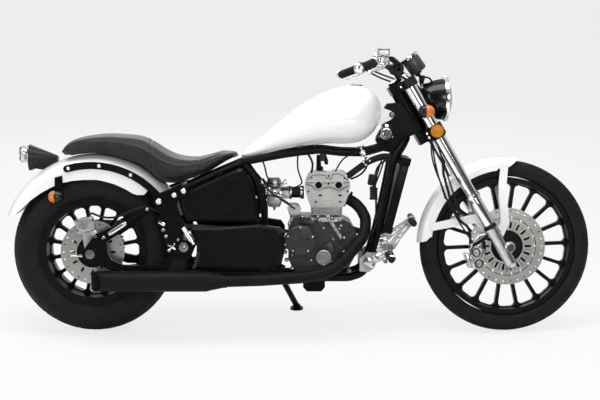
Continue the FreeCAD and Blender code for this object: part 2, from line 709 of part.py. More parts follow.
def perch(sign, side):
    """Lever perch clamped on the bar inboard of the grip, with its mirror boss."""
    at, way = along_grip(sign, 0.14)
    out = V(0.86, sign * 0.10, -0.12)
    out = (out - way * out.dot(way)).normalize()
    up = way.cross(out).normalize()
    up = up if up.z > 0 else -up
    block = cylinder("perch_ring_" + side, 19, 24, at - way * 4, way)
    arm = cylinder("perch_arm_" + side, 10, 40, at + way * 8, out)
    boss = cylinder("perch_boss_" + side, 10, 26, at + way * 8 + out * 26 + up * 2, up)
    bore = cylinder("perch_bore_" + side, 11.15, 60, at - way * 25, way)
    mirror_hole = cylinder("mirror_hole_" + side, 5, 19, at + way * 8 + out * 26 + up * 10, up)
    return cut("perch_" + side, fuse("perch_set_" + side, [block, arm, boss]),
               fuse("perch_cuts_" + side, [bore, mirror_hole]))


def lever(sign, side):
    at, way = along_grip(sign, 0.14)
    out = V(0.86, sign * 0.10, -0.12)
    out = (out - way * out.dot(way)).normalize()
    a = at + way * 8 + out * 40.4
    pts = [a, a + out * 8 + way * 14, a + out * 12 + way * 60, a + out * 6 + way * 112, a + out * 10 + way * 138]
    shape = tube([tuple(p) for p in pts], 5.5, 26)
    ball = Part.makeSphere(8, V(*pts[-1]))
    return solid("lever_" + side, shape.fuse(ball))


node("hand_levers", group_of("hand_lever_set", both(perch) + both(lever)), "steering")
at, way = along_grip(-1, 0.14)
tank_at = at + way * 8 + V(34, 4, 36.5)
node("brake_reservoir", fuse("reservoir_set", [
    box("reservoir_cup", (44, 40, 26), tank_at),
    box("reservoir_lid", (47, 43, 5), tank_at + V(0, 0, 15)),
    cylinder("reservoir_neck", 8, 12.5, tank_at + V(-4, -2, -24.5), Z)]), "steering")

# ---------------------------------------------------------------- headlamp, clock and indicators
LAMP_AT = V(FRONT.x - 266, 0, 922)
shell = turned("lamp_shell", [(0, -55), (30, -53), (54, -40), (68, -18), (73, 8), (74, 30), (78, 30),
                              (78, 44), (70, 44), (70, 36), (0, 36)])
place_on(shell, LAMP_AT, X)
foot = fork(-17, 0, LOWER + LOWER_T / 2 + 0.3)
bracket = cylinder("lamp_foot", 11, 62, foot + UP_FORK * 12, LAMP_AT - X * 12 - foot - UP_FORK * 12)
puck = cylinder("lamp_puck", 13, 16, foot, UP_FORK)
node("headlamp_shell", fuse("headlamp_set", [shell, bracket, puck]), "steering")
lens = turned("lamp_lens", [(0, 36.3), (69.6, 36.3), (69.6, 41), (60, 46), (42, 50.5), (20, 53), (0, 53)])
node("headlamp_lens", place_on(lens, LAMP_AT, X), "steering")

CLOCK_AT, CLOCK_UP = V(FRONT.x - 365, 0, 1060), V(-0.589, 0, 0.808)
clock = turned("clock_can", [(0, -38), (26, -38), (32, -31), (35, -18), (35, 24), (39, 24), (39, 37),
                             (33, 37), (33, 33), (0, 33)])
place_on(clock, CLOCK_AT, CLOCK_UP)
low = fork(-14, 0, UPPER + UPPER_T / 2 + 0.3)
reach = CLOCK_AT - CLOCK_UP * 30 - low - UP_FORK * 9
arm = cylinder("clock_arm", 8, reach.Length, low + UP_FORK * 9, reach)
node("speedometer", fuse("speedometer_set", [clock, arm, cylinder("clock_puck", 9, 12, low, UP_FORK)]), "steering")

FRONT_BLINK = {}
for sign, side in ((-1, "right"), (1, "left")):
    at = fork(-28, sign * (S.leg_spread + 66), 630)
    FRONT_BLINK[side] = at
    body = turned("blinker_body_" + side, [(0, -30), (14, -28), (23, -14), (26, 6), (26, 12), (0, 12)])
    place_on(body, at, X)
    root = fork(LEG_X, sign * (S.leg_spread + S.sleeve_r + 3.5), 622)
    stalk = cylinder("blinker_stalk_" + side, 7, (at - root).Length - 12, root, at - root)
    ring = cut("blinker_ring_" + side, cylinder("blinker_band_" + side, S.sleeve_r + 4, 22,
                                                fork(LEG_X, sign * S.leg_spread, 611), UP_FORK),
               cylinder("blinker_band_bore_" + side, S.sleeve_r + 0.05, 40,
                        fork(LEG_X, sign * S.leg_spread, 600), UP_FORK))
    FRONT_BLINK[side + "_body"] = fuse("blinker_set_" + side, [body, stalk, ring])
node("front_indicators", group_of("blinkers", [FRONT_BLINK["right_body"], FRONT_BLINK["left_body"]]),
     "steering")


def amber(sign, side):
    glass = turned("blinker_glass_" + side, [(0, 12.3), (25.5, 12.3), (24, 20), (17, 28), (8, 31), (0, 32)])
    return place_on(glass, FRONT_BLINK[side], X)


node("front_indicator_lenses", group_of("blinker_glasses", both(amber)), "steering")


def reflector(sign, side):
    y = sign * float(S.leg_spread + S.sleeve_r + 5 + 2 + 0.3)
    return cylinder("reflector_" + side, 27, 8, fork(LEG_X, y, LOWER), V(0, sign, 0))


node("fork_reflectors", group_of("reflectors", both(reflector)), "steering")

# Brake hose and speedometer cable, clipped at both ends.
hose = tube([tuple(fork(-8, -44, LOWER - LOWER_T / 2 - 0.3)), tuple(fork(-14, -47, 470)), tuple(fork(-76, -62, 380)),
             tuple(fork(-104, -68, 280)), tuple(fork(-116, -71, 190)), (FRONT.x - 150, -72, FRONT.z + 72),
             (FRONT.x - 150, -72, FRONT.z + 10.5)], 5, 60)
wire = tube([tuple(fork(-8, 44, LOWER - LOWER_T / 2 - 0.3)), tuple(fork(-12, 46, 470)), tuple(fork(-64, 66, 360)),
             tuple(fork(-84, 74, 240)), tuple(fork(-80, 78, 120)), tuple(fork(-62, 88, 50)),
             tuple(fork(LEG_X - S.casting_r - 4.3, 95, 8))], 4, 60)
node("fork_cables", group_of("fork_cable_pair", [solid("brake_hose_tube", hose),
                                                 solid("speedometer_wire", wire)]), "steering")

# ---------------------------------------------------------------- frame
GAP = 0.3
head_low, head_high = LOWER + LOWER_T / 2 + 1, UPPER - UPPER_T / 2 - 1
head = cylinder("head_tube", 30, head_high - head_low, fork(-S.fork_offset, 0, head_low), UP_FORK)
gusset = solid("neck_box", side_plate(drawn_out([
    (468, 800), (408, 890), (392, 908), (345, 904), (334, 890), (324, 812), (303, 776), (298, 758), (320, 718),
    (397, 706), (430, 745)]), -30, 30))
neck = cut("neck_cut", fuse("neck_set", [head, gusset]), fuse("neck_rooms", [
    cylinder("stem_room", STEM_R + 0.1, 400, fork(-S.fork_offset, 0, LOWER - 60), UP_FORK),
    cylinder("lower_yoke_room", 120, 52, fork(-S.fork_offset, 0, LOWER - LOWER_T / 2 - 1), UP_FORK)]))
node("frame_neck", neck)

PIVOT = V(-451, 0, 352)
FLOOR_Z = 222
R_ = S.frame_r


def down_tube(sign):
    y = sign * float(S.frame_y)
    return drawn_out([(420, sign * 22, 770), (402, sign * 60, 738), (365, y, 686), (346, y, 587), (326, y, 489),
                 (306, y, 403), (279, y, 312), (250, y, 240), (190, y, FLOOR_Z), (-420, y, FLOOR_Z), (-462, y, 300)])


def cover_tube(sign):
    return [(-221, sign * 75, 672), (-172, sign * 90, 602), (-141, sign * 92, 488), (-141, sign * 92, 290),
            (-141, sign * float(S.frame_y), FLOOR_Z)]


def top_rail(sign):
    return drawn_out([(-221, sign * 75, 679), (-78, sign * 62, 705), (0, sign * 56, 716), (78, sign * 52, 724),
                 (160, sign * 50, 714), (250, sign * 46, 712), (345, sign * 24, 738)])


def seat_rail(sign):
    return [(-560, sign * 128, 531), (-450, sign * 124, 578), (-330, sign * 102, 632), (-221, sign * 75, 679)]


lower, upper = [], []
for sign, side in ((-1, "right"), (1, "left")):
    lower.append(solid("down_tube_" + side, tube(down_tube(sign), R_, 70)))
    lower.append(solid("cover_tube_" + side, tube(cover_tube(sign), S.rail_r, 60)))
    upper.append(solid("top_rail_" + side, tube(top_rail(sign), R_, 120)))
    upper.append(solid("seat_rail_" + side, tube(seat_rail(sign), S.rail_r, 120)))
    upper.append(solid("rail_knee_" + side, Part.makeSphere(float(R_), V(-221, sign * 75, 679))))
lower += [
    cylinder("floor_cross_front", 14, S.frame_y * 2, V(ahead(200), -float(S.frame_y), FLOOR_Z)),
    cylinder("floor_cross_rear", 14, S.frame_y * 2, V(-141, -float(S.frame_y), FLOOR_Z)),
    cylinder("plate_cross_low", 14, 327.4, V(-462, -163.7, 300)),
    solid("floor_tab", side_plate([(12, 206), (99, 206), (99, 180), (84, 163), (27, 163), (12, 180)], -66, -58)),
    box("floor_tab_arm", (70, 30, 12), V(56, -72, 212))]
upper += [
    cylinder("rail_cross_front", 14, 112, V(0, -56, 716)),
    cylinder("rail_cross_mid", 14, 150, V(-221, -75, 679)),
    cylinder("rail_cross_rear", 12, 256, V(-462, -128, 572))]
node("main_frame", cut("main_frame_cut", fuse("main_frame_set", lower + upper), solid(
    "frame_neck_room", side_plate(drawn_out([(500, 600), (500, 1000), (290, 1000), (290, 600)]), -30.2, 30.2))))

PLATE_Y, PLATE_T = 164.0, 8.0
plate_edge = [(-473, 534), (-477, 514), (-466, 487), (-450, 449), (-438, 417), (-427, 386), (-417, 359),
              (-419, 332), (-431, 309), (-442, 282), (-450, 262)]
plate_rest = [(-480, 262), (-500, 300), (-506, 352), (-516, 420), (-545, 490), (-572, 528), (-560, 556),
              (-500, 580), (-452, 590), (-440, 572), (-462, 556)]
plates = [solid("pivot_plate_" + side, side_plate(plate_edge + plate_rest, sign * PLATE_Y, sign * (PLATE_Y + PLATE_T)))
          for sign, side in ((-1, "right"), (1, "left"))]
for sign, side in ((-1, "right"), (1, "left")):
    for k, (x, z) in enumerate(((-546, 530), (-486, 555), (-450, 571))):
        near = 128 if k == 0 else 126
        plates.append(cylinder("plate_stud_%s_%d" % (side, k), 7, PLATE_Y - near - 8 + PLATE_T + 7,
                               V(x, sign * (near + 8), z), V(0, sign, 0)))
        plates.append(cylinder("plate_bolt_%s_%d" % (side, k), 11, 6,
                               V(x, sign * (PLATE_Y + PLATE_T), z), V(0, sign, 0)))
    plates.append(cylinder("pivot_head_" + side, 19, 10, V(PIVOT.x, sign * (PLATE_Y + PLATE_T), PIVOT.z),
                           V(0, sign, 0)))
plates.append(cylinder("pivot_bolt", 10, (PLATE_Y + PLATE_T) * 2, V(PIVOT.x, -PLATE_Y - PLATE_T, PIVOT.z)))
plates_all = cut("pivot_plates_cut", fuse("pivot_plate_set", plates), fuse("plate_rooms", [
    solid("plate_rail_room_r", tube(seat_rail(-1), S.rail_r + 0.2, 120)),
    solid("plate_rail_room_l", tube(seat_rail(1), S.rail_r + 0.2, 120))]))
node("pivot_plates", plates_all)

# ---------------------------------------------------------------- swingarm, axle, chain
ARM_IN, ARM_OUT = 137.0, 161.0
arm_low = [(-852, 300), (-852, 328), (-814, 376), (-792, 404), (-764, 396), (-752, 372), (-748, 330), (-736, 302),
           (-690, 280), (-560, 276), (-530, 288), (-512, 312), (-500, 346), (-474, 374), (-430, 366), (-424, 340),
           (-440, 328), (-480, 322), (-494, 292), (-516, 262), (-552, 248), (-704, 250), (-762, 272), (-790, 284),
           (-818, 282)]
arm_up = [(-800, 372), (-785, 404), (-669, 460), (-596, 509), (-586, 484), (-655, 430), (-752, 372)]
arms = []
for sign, side in ((-1, "right"), (1, "left")):
    arms.append(solid("arm_low_" + side, side_plate(arm_low, sign * ARM_IN, sign * ARM_OUT)))
    arms.append(solid("arm_up_" + side, side_plate(arm_up, sign * ARM_IN, sign * ARM_OUT)))
arms.append(cylinder("arm_sleeve", 22, ARM_OUT * 2, V(PIVOT.x, -ARM_OUT, PIVOT.z)))
arms_cut = fuse("arm_bores", [
    cylinder("arm_pivot_bore", 10.05, 500, V(PIVOT.x, -250, PIVOT.z)),
    cylinder("arm_axle_bore", S.axle_r + 0.05, 500, V(REAR.x, -250, REAR.z)),
    cylinder("stand_bobbin_right", 4, 22, V(-770, -ARM_OUT - 1, 330)),
    cylinder("stand_bobbin_left", 4, 22, V(-770, ARM_OUT - 21, 330))])
node("swingarm", cut("swingarm_cut", fuse("swingarm_set", arms), arms_cut))

node("rear_axle", fuse("rear_axle_set", [
    cylinder("rear_axle_bar", S.axle_r, (ARM_OUT + 12) * 2, REAR - Y * (ARM_OUT + 12)),
    cylinder("rear_axle_head", 18, 14, REAR - Y * (ARM_OUT + 14.3)),
    cylinder("rear_axle_nut", 18, 14, REAR + Y * (ARM_OUT + GAP)),
    cut("rear_spacer_right_cut", cylinder("rear_spacer_right", 18, ARM_IN - float(S.rear_hub_half + S.disc_t) - 1.1,
                                          REAR - Y * (ARM_IN - GAP)),
        cylinder("rear_spacer_right_bore", S.axle_r - 0.01, 60, REAR - Y * (ARM_IN + 5)))]))

FRONT_COG = V(-14, float(S.chain_y), 352)
COG_R = 32.0


def belt(y, out_rear, out_front):
    """The outline of a loop round both sprockets at a given height above their teeth."""
    a, b = V(REAR.x, y, REAR.z), V(FRONT_COG.x, y, FRONT_COG.z)
    d = b - a
    base, lean_in = math.atan2(d.z, d.x), math.acos((out_rear - out_front) / d.Length)

    def at(c, r, t):
        return V(c.x + r * math.cos(t), y, c.z + r * math.sin(t))

    up, down = base + lean_in, base - lean_in
    return Part.Wire([
        Part.LineSegment(at(a, out_rear, up), at(b, out_front, up)).toShape(),
        Part.Arc(at(b, out_front, up), at(b, out_front, base), at(b, out_front, down)).toShape(),
        Part.LineSegment(at(b, out_front, down), at(a, out_rear, down)).toShape(),
        Part.Arc(at(a, out_rear, down), at(a, out_rear, base + math.pi), at(a, out_rear, up)).toShape()])


rr = float(S.sprocket_r) - 4
links = []
for y0, y1 in ((-8, -5), (5, 8)):
    yy = float(S.chain_y) + y0
    outer = Part.Face(belt(yy, rr + 7, COG_R - 3 + 7)).extrude(V(0, y1 - y0, 0))
    inner = Part.Face(belt(yy - 1, rr - 7, COG_R - 3 - 7)).extrude(V(0, y1 - y0 + 2, 0))
    links.append(outer.cut(inner))
span, top_a, top_b = (FRONT_COG - REAR), V(REAR.x, 0, REAR.z), V(FRONT_COG.x, 0, FRONT_COG.z)
d = top_b - top_a
base, lean_in = math.atan2(d.z, d.x), math.acos((rr - COG_R + 3) / d.Length)
for way in (1, -1):
    t = base + way * lean_in
    p = V(REAR.x + rr * math.cos(t), 0, REAR.z + rr * math.sin(t))
    q = V(FRONT_COG.x + (COG_R - 3) * math.cos(t), 0, FRONT_COG.z + (COG_R - 3) * math.sin(t))
    for k in range(4, 39, 2):
        at = p + (q - p) * (k / 42.0)
        links.append(Part.makeCylinder(4, 12, V(at.x, float(S.chain_y) - 6, at.z), Y))
chain_shape = links[0].fuse(links[1:])
node("chain", solid("chain_loop", chain_shape))

# ---------------------------------------------------------------- fuel tank
TANK_TOP = drawn_out([(-234, 704), (-196, 739), (-145, 779), (-68, 846), (8, 902), (85, 945), (161, 971), (212, 976),
            (263, 966), (299, 938), (320, 902)])
TANK_LOW = drawn_out([(-234, 698), (-220, 693), (-192, 691), (-118, 711), (-42, 728), (58, 743), (108, 748), (183, 746),
            (243, 753), (283, 783), (308, 818), (320, 850)])
TANK_HALF = drawn_out([(-234, 0.22), (-196, 0.36), (-145, 0.52), (-68, 0.72), (8, 0.86), (85, 0.95), (161, 1.0), (212, 0.99),
             (263, 0.86), (299, 0.6), (320, 0.34)])
tank_at = [ahead(x) for x in (-232, -190, -120, -40, 45, 125, 200, 262, 300, 318)]
tank = loft([oval(x, between(TANK_HALF, x) * float(S.tank_half), between(TANK_LOW, x), between(TANK_TOP, x),
                  0.42, 2.4) for x in tank_at])
tab = side_plate(drawn_out([(270, 800), (318, 822), (352, 838), (370, 852), (370, 868), (352, 878), (290, 900)]), 33, 41)
tab = tab.fuse(tab.mirror(V(0, 0, 0), Y))
TANK_TOOLS = [tube(top_rail(sign), float(S.frame_r) + 2, 120) for sign in (-1, 1)]
TANK_TOOLS.append(Part.makeCylinder(16.5, 120, V(0, -60, 716), Y))
TANK_TOOLS.append(Part.makeBox(80, 70, 260, V(ahead(322.5), -31, 690)))
TANK_TOOLS.append(Part.makeCylinder(33.3, 40, V(ahead(214), 0, 963), V(-0.04, 0, 1)))
for sign in (-1, 1):
    TANK_TOOLS.append(tube(seat_rail(sign), float(S.rail_r) + 2, 120))
    TANK_TOOLS.append(Part.makeSphere(float(S.frame_r) + 2, V(-221, sign * 75, 679)))
tank_set = fuse("tank_set", [solid("tank_shell", tank), solid("tank_tabs", tab)])
node("fuel_tank", cut("tank_cut", tank_set, fuse("tank_rooms", [
    solid("tank_room_%d" % k, s) for k, s in enumerate(TANK_TOOLS)])))
cap_at = V(ahead(214), 0, 963.3)
node("fuel_cap", turned("fuel_cap_body", [(0, 0), (33, 0), (33, 12), (29, 15), (0, 17)]))
NODES[-1].Placement = ROW * Place(cap_at, facing(V(-0.04, 0, 1)))

# ---------------------------------------------------------------- rear fender
rf = S.rear_fender_r
rh = S.rear_tyre_w / 2 + 10


def crown(inset):
    """Radius that keeps the crown 13 mm high whatever the fender's width."""
    return ((float(rh) - inset) ** 2 + 13.0 ** 2) / 26.0


body = doc.addObject("PartDesign::Body", "rear_fender_body")
sec = sketch_on(body, "rear_fender_section", "XZ_Plane", [
    (rf - 118, -rh), (rf - 46, -rh, 40.0), (rf - 13, -(rh - 32), crown(32)), (rf - 13, rh - 32, 40.0), (rf - 46, rh),
    (rf - 118, rh), (rf - 118, rh - fw), (rf - 46, rh - fw, -37.0), (rf - 16, rh - 33, -crown(33)),
    (rf - 16, -(rh - 33), -37.0), (rf - 46, -(rh - fw)), (rf - 118, -(rh - fw))])
rev = body.newObject("PartDesign::Revolution", "rear_fender_turn")
rev.Profile, rev.ReferenceAxis, rev.Angle = sec, (sec, ["V_Axis"]), 137
FENDER_AT = REAR + V(8, 0, 4)
place_on(body, FENDER_AT, -Y, 22)
skirt = [(-390, 128), (-330, 130), (-282, 163), (-240, 203), (-200, 232), (-160, 254), (-117, 272), (-74, 281),
         (-30, 285), (20, 285), (52, 279), (93, 267), (136, 247), (160, 232), (178, 226), (205, 226), (222, 244),
         (262, 220), (330, 120), (380, 60), (380, -40), (-390, -40)]
room = solid("fender_skirt_cut", side_plate([(REAR.x + x, REAR.z + z) for x, z in skirt], -150, 150))
node("rear_fender", cut("rear_fender_cut", body, room))


def arc_strip(r0, r1, a0, a1, y0, y1, steps=12):
    """A curved flat strip about the rear axle."""
    outer = [(REAR.x + r1 * math.cos(t), REAR.z + r1 * math.sin(t)) for t in
             [a0 + (a1 - a0) * k / steps for k in range(steps + 1)]]
    inner = [(REAR.x + r0 * math.cos(t), REAR.z + r0 * math.sin(t)) for t in
             [a1 + (a0 - a1) * k / steps for k in range(steps + 1)]]
    return side_plate(outer + inner, y0, y1)


def strut(sign, side):
    y0 = float(rh) + GAP
    strip = arc_strip(328, 356, math.radians(38), math.radians(106), sign * y0, sign * (y0 + 6))
    parts = [solid("strut_strip_" + side, strip),
             cylinder("strut_end_" + side, 14, 6, V(REAR.x + 342 * math.cos(math.radians(106)), sign * y0,
                                                    REAR.z + 342 * math.sin(math.radians(106))), V(0, sign, 0))]
    for k, deg in enumerate((104.8, 84.5, 63)):
        t = math.radians(deg)
        parts.append(cylinder("strut_bolt_%s_%d" % (side, k), 8, 5,
                              V(REAR.x + 342 * math.cos(t), sign * (y0 + 6), REAR.z + 342 * math.sin(t)),
                              V(0, sign, 0)))
    whole = fuse("strut_set_" + side, parts)
    return cut("strut_" + side, whole, solid("strut_rail_room_" + side, tube(seat_rail(sign), S.rail_r + 0.2, 120)))


node("fender_struts", group_of("strut_pair", both(strut)))

# ---------------------------------------------------------------- seat
SEAT_TOP = [(-942, 699), (-922, 741), (-884, 763), (-817, 777), (-741, 781), (-664, 777), (-613, 769), (-572, 745),
            (-526, 715), (-476, 695), (-435, 689), (-400, 690), (-324, 709), (-283, 718), (-252, 718), (-240, 708)]
SEAT_LOW = [(-942, 693), (-871, 711), (-796, 712), (-721, 702), (-647, 677), (-597, 647), (-557, 612), (-528, 596),
            (-503, 594), (-448, 604), (-390, 626), (-316, 666), (-258, 699), (-240, 702)]
SEAT_HALF = [(-942, 0.4), (-925, 0.58), (-884, 0.74), (-800, 0.84), (-700, 0.88), (-600, 0.94), (-526, 1.0),
             (-435, 0.97), (-324, 0.74), (-252, 0.48), (-240, 0.42)]
seat_at = (-938, -905, -840, -741, -650, -590, -530, -470, -400, -324, -270, -244)
seat = loft([oval(x, between(SEAT_HALF, x) * float(S.seat_half), between(SEAT_LOW, x), between(SEAT_TOP, x),
                  0.4, 3.0) for x in seat_at])
seat_tools = [Part.makeCylinder(float(rf) + 0.4, 2 * (float(rh) + 20), V(FENDER_AT.x, -float(rh) - 20, FENDER_AT.z), Y)]
seat_tools += [tube(seat_rail(sign), float(S.rail_r) + 1, 120) for sign in (-1, 1)]
seat_tools += [Part.makeCylinder(13, 256, V(-462, -128, 572), Y), tank]
node("seat", solid("seat_pad", seat.cut(seat_tools)))

# ---------------------------------------------------------------- side covers
UPPER_COVER = [(-472, 540), (-426, 570), (-387, 589), (-310, 624), (-240, 655), (-221, 655), (-193, 612), (-174, 554),
               (-162, 496), (-155, 455), (-165, 450), (-440, 450), (-449, 462), (-462, 500)]
LOWER_COVER = [(-424, 425), (-329, 425), (-290, 428), (-155, 438), (-77, 426), (-62, 405), (-58, 340), (-72, 285),
               (-90, 264), (-420, 264), (-408, 300), (-402, 330), (-402, 362), (-412, 392)]


def panel(name, outline, sign, y_in, rise, boss=None):
    """A side panel: its outline at full depth and a smaller raised face."""
    cx = sum(p[0] for p in outline) / len(outline)
    cz = sum(p[1] for p in outline) / len(outline)
    y_mid, y_out = float(S.cover_y) - rise, float(S.cover_y)

    def ring(share, y):
        return poly_wire([(cx + (x - cx) * share, sign * y, cz + (z - cz) * share) for x, z in outline])

    low = Part.makeLoft([ring(1.0, y_in), ring(1.0, y_mid)], True, True)
    high = Part.makeLoft([ring(1.0, y_mid), ring(0.9, y_out)], True, True)
    body = low.fuse(high).removeSplitter()
    return solid(name, body.fuse(boss) if boss else body)


COVER_IN = 134.0


def rail_tab(sign):
    """Tab and boss that hang an upper cover on the seat rail."""
    y = 102 + float(S.rail_r) + 1.1
    leaf = side_plate([(-332, 596), (-306, 596), (-306, 638), (-332, 638)], sign * y, sign * (y + 3))
    return leaf.fuse(Part.makeCylinder(6, COVER_IN - y + 1, V(-319, sign * y, 604), V(0, sign, 0)))


def tube_boss(sign):
    """Boss from a lower cover to the upright tube behind it."""
    y = 92 + float(S.rail_r) + 0.3
    return Part.makeCylinder(8, COVER_IN - y + 1, V(-141, sign * y, 352), V(0, sign, 0))


node("side_covers", group_of("upper_covers", [
    panel("cover_up_" + side, UPPER_COVER, sign, COVER_IN, 10, rail_tab(sign)) for sign, side in ((-1, "right"), (1, "left"))]))
node("lower_covers", group_of("lower_cover_pair", [
    panel("cover_low_" + side, LOWER_COVER, sign, COVER_IN, 6, tube_boss(sign)) for sign, side in ((-1, "right"), (1, "left"))]))

# ---------------------------------------------------------------- engine
case = [(-46, 300), (-46, 430), (-22, 463), (150, 463), (198, 440), (221, 400), (221, 322), (192, 268), (120, 243),
        (-20, 243)]
crank = fuse("crankcase_set", [
    solid("case_block", side_plate(case, -122, 100)),
    cylinder("front_cog_shaft", 12, S.chain_y - 99.5, V(FRONT_COG.x, 99.5, FRONT_COG.z)),
    cylinder("front_cog", COG_R, 8, V(FRONT_COG.x, FRONT_COG.y - 4, FRONT_COG.z)),
    cylinder("front_cog_nut", 14, 8, V(FRONT_COG.x, FRONT_COG.y + 4, FRONT_COG.z)),
    cylinder("starter", 24, 120, V(-22, -60, 482)),
    box("case_mount_front", (34, 60, 60), V(232, 0, 350)),
    box("case_mount_low", (60, 100, 12), V(60, 0, 238))])
node("crankcase", cut("crankcase_cut", crank, solid("case_pipe_room", side_plate(
    [(-46, 470), (-46, 500), (-10, 500), (-10, 470)], 61, 90))))
fin_block = [box("barrel", (104, 110, 40), V(104, 0, 484))]
head_outline = [(47, 500), (20, 540), (19, 593), (34, 622), (51, 644), (141, 644), (172, 622), (192, 593), (186, 545),
                (156, 500)]
fin_block.append(solid("head_block", side_plate(head_outline, -72, 72)))
fin_block.append(solid("cam_cover", side_plate([(52, 640), (60, 652), (132, 652), (141, 640)], -60, 60)))
for sign, side in ((-1, "right"), (1, "left")):
    for k, (x, z) in enumerate(((76, 592), (150, 586))):
        fin_block.append(cylinder("cam_plug_%s_%d" % (side, k), 14, 6, V(x, sign * 71.5, z), V(0, sign, 0)))
fin_block.append(box("head_stay", (17, 30, 40), V(73, 0, 672)))
for k in range(3):
    fin_block.append(box("fin_%d" % k, (122, 128, 5), V(104, 0, 474 + 9 * k)))
engine_top = cut("engine_top_cut", fuse("engine_top_set", fin_block),
                 fuse("engine_top_rooms", [
                     solid("head_rail_room_r", tube(top_rail(-1), S.frame_r + 0.3, 120)),
                     solid("head_rail_room_l", tube(top_rail(1), S.frame_r + 0.3, 120)),
                     cylinder("starter_room", 24.3, 140, V(-22, -70, 482))]))
node("cylinder_head", engine_top)
covers = [
    solid("clutch_side", side_plate([(-44, 304), (-44, 426), (-20, 455), (70, 455), (130, 420), (150, 360), (140, 290),
                                     (110, 256), (-16, 256)], -122.3, -146)),
    cylinder("clutch_round", 60, 36, V(2, -146, 378), V(0, -1, 0)),
    cylinder("filter_round", 31, 26, V(92, -146, 311), V(0, -1, 0)),
    cylinder("generator_side", 70, 26, V(110, 100.3, 350), Y),
    cylinder("generator_round", 54, 24, V(110, 126.3, 350), Y)]
node("engine_covers", group_of("cover_sets", [fuse("right_cover_set", covers[:3]), fuse("left_cover_set", covers[3:])]))

carb = fuse("carburettor_set", [
    box("carb_body", (62, 58, 100), V(-103, 0, 551)),
    cylinder("carb_top", 30, 14, V(-103, 0, 597), Z),
    cylinder("carb_bowl", 24, 16, V(-103, 0, 487), Z),
    cylinder("inlet_boot", 21, 104, V(-74, 0, 552), X),
    cylinder("inlet_clamp", 24, 12, V(-60, 0, 552), X),
    cylinder("air_boot", 27, 62, V(-196, 0, 560), X),
    box("air_box", (110, 130, 110), V(-250, 0, 560)),
    solid("throttle_drum", Part.makeCylinder(18, 10, V(-103, -40, 565), Y).fuse(
        Part.makeCylinder(6, 14, V(-103, -42, 565), Y)))])
node("carburettor", cut("carb_cut", carb, solid("head_room", side_plate(head_outline, -80, 80))))

# ---------------------------------------------------------------- radiator
rad_tilt = math.degrees(math.atan2(75, 287))
rad = fuse("radiator_set", [
    box("radiator_core", (30, 216, 250), V(ahead(378), 0, 547), Rot(Y, rad_tilt)),
    box("radiator_tank_top", (38, 226, 28), V(ahead(378), 0, 547) + V(0.2527 * 138, 0, 0.9675 * 138), Rot(Y, rad_tilt)),
    box("radiator_tank_low", (38, 226, 28), V(ahead(378), 0, 547) - V(0.2527 * 138, 0, 0.9675 * 138), Rot(Y, rad_tilt))])
rad_cut = fuse("radiator_rooms", [
    solid("rad_tube_right", tube(down_tube(-1), S.frame_r + 1, 70)),
    solid("rad_tube_left", tube(down_tube(1), S.frame_r + 1, 70)),
    solid("rad_neck_room", side_plate(drawn_out([(300, 700), (300, 800), (500, 800), (440, 690), (400, 690)]), -32, 32))])
node("radiator", cut("radiator_cut", rad, rad_cut))

# ---------------------------------------------------------------- exhaust
PIPE = [(196, -22, 524), (222, -30, 508), (242, -48, 486), (258, -72, 455), (256, -104, 420), (243, -138, 382),
        (205, -166, 339), (170, -184, 300), (130, -195, 268), (84, -float(S.muffler_y), 248), (0, -float(S.muffler_y), 236),
        (-154, -float(S.muffler_y), 226), (-281.7, -float(S.muffler_y), 222)]
pipe = tube(PIPE, S.pipe_r, 60)
flange = Part.makeCylinder(34, 8, V(186, -22, 528), V(0.85, 0, -0.52))
room = side_plate(head_outline, -76.3, 76.3)
node("exhaust_pipe", solid("exhaust_pipe_run", pipe.fuse(flange).cut(room)))
MUFF_Z = 222.0
mr = S.muffler_r
can = turned("muffler_can", [(0, 0), (S.pipe_r + 3, 0), (S.pipe_r + 3, 14), (mr - 4, 66), (mr, 82), (mr, 530),
                             (mr - 5, 530), (mr - 5, 470), (0, 470)])
place_on(can, V(-282, -float(S.muffler_y), MUFF_Z), -X)
slash = box("muffler_slash", (200, 300, 200), V(-782, -float(S.muffler_y), MUFF_Z) + V(-84, -70, 0), Rot(Z, 39))
mount = fuse("muffler_hanger_set", [
    box("muffler_hanger", (54, 6, 78), V(-470, -PLATE_Y - PLATE_T - 3.3, MUFF_Z + 46)),
    cylinder("muffler_bolt", 9, 6, V(-470, -PLATE_Y - PLATE_T - 12, MUFF_Z + 72))])
node("muffler", cut("muffler_cut", fuse("muffler_set", [can, mount]), fuse("muffler_rooms", [
    slash, cylinder("muffler_inside", S.pipe_r, 4, V(-282, -float(S.muffler_y), 222.0), -X)])))

# ---------------------------------------------------------------- tail lamp and rear indicators
tail_cone = cone("tail_cone", 54, 8, 112, V(-1072, 0, 690), X)
tail_foot = solid("tail_foot", side_plate([(-1072, 652), (-1072, 690), (-960, 692), (-960, 636), (-1004, 640)], -22, 22))
tail_cut = fuse("tail_rooms", [
    cylinder("tail_fender_room", rf + GAP, 200, V(FENDER_AT.x, -100, FENDER_AT.z)),
    solid("tail_low_room", side_plate([(-1200, 634), (-1060, 640), (-1030, 560), (-1200, 500)], -60, 60))])
node("tail_lamp_housing", cut("tail_cut", fuse("tail_set", [tail_cone, tail_foot]), tail_cut))
tl = turned("tail_lens", [(0, 0.4), (25, 0.3), (26, 4), (25, 30), (20, 38), (10, 41), (0, 41)])
node("tail_lamp_lens", place_on(tl, V(-1072.4, 0, 704), -X))


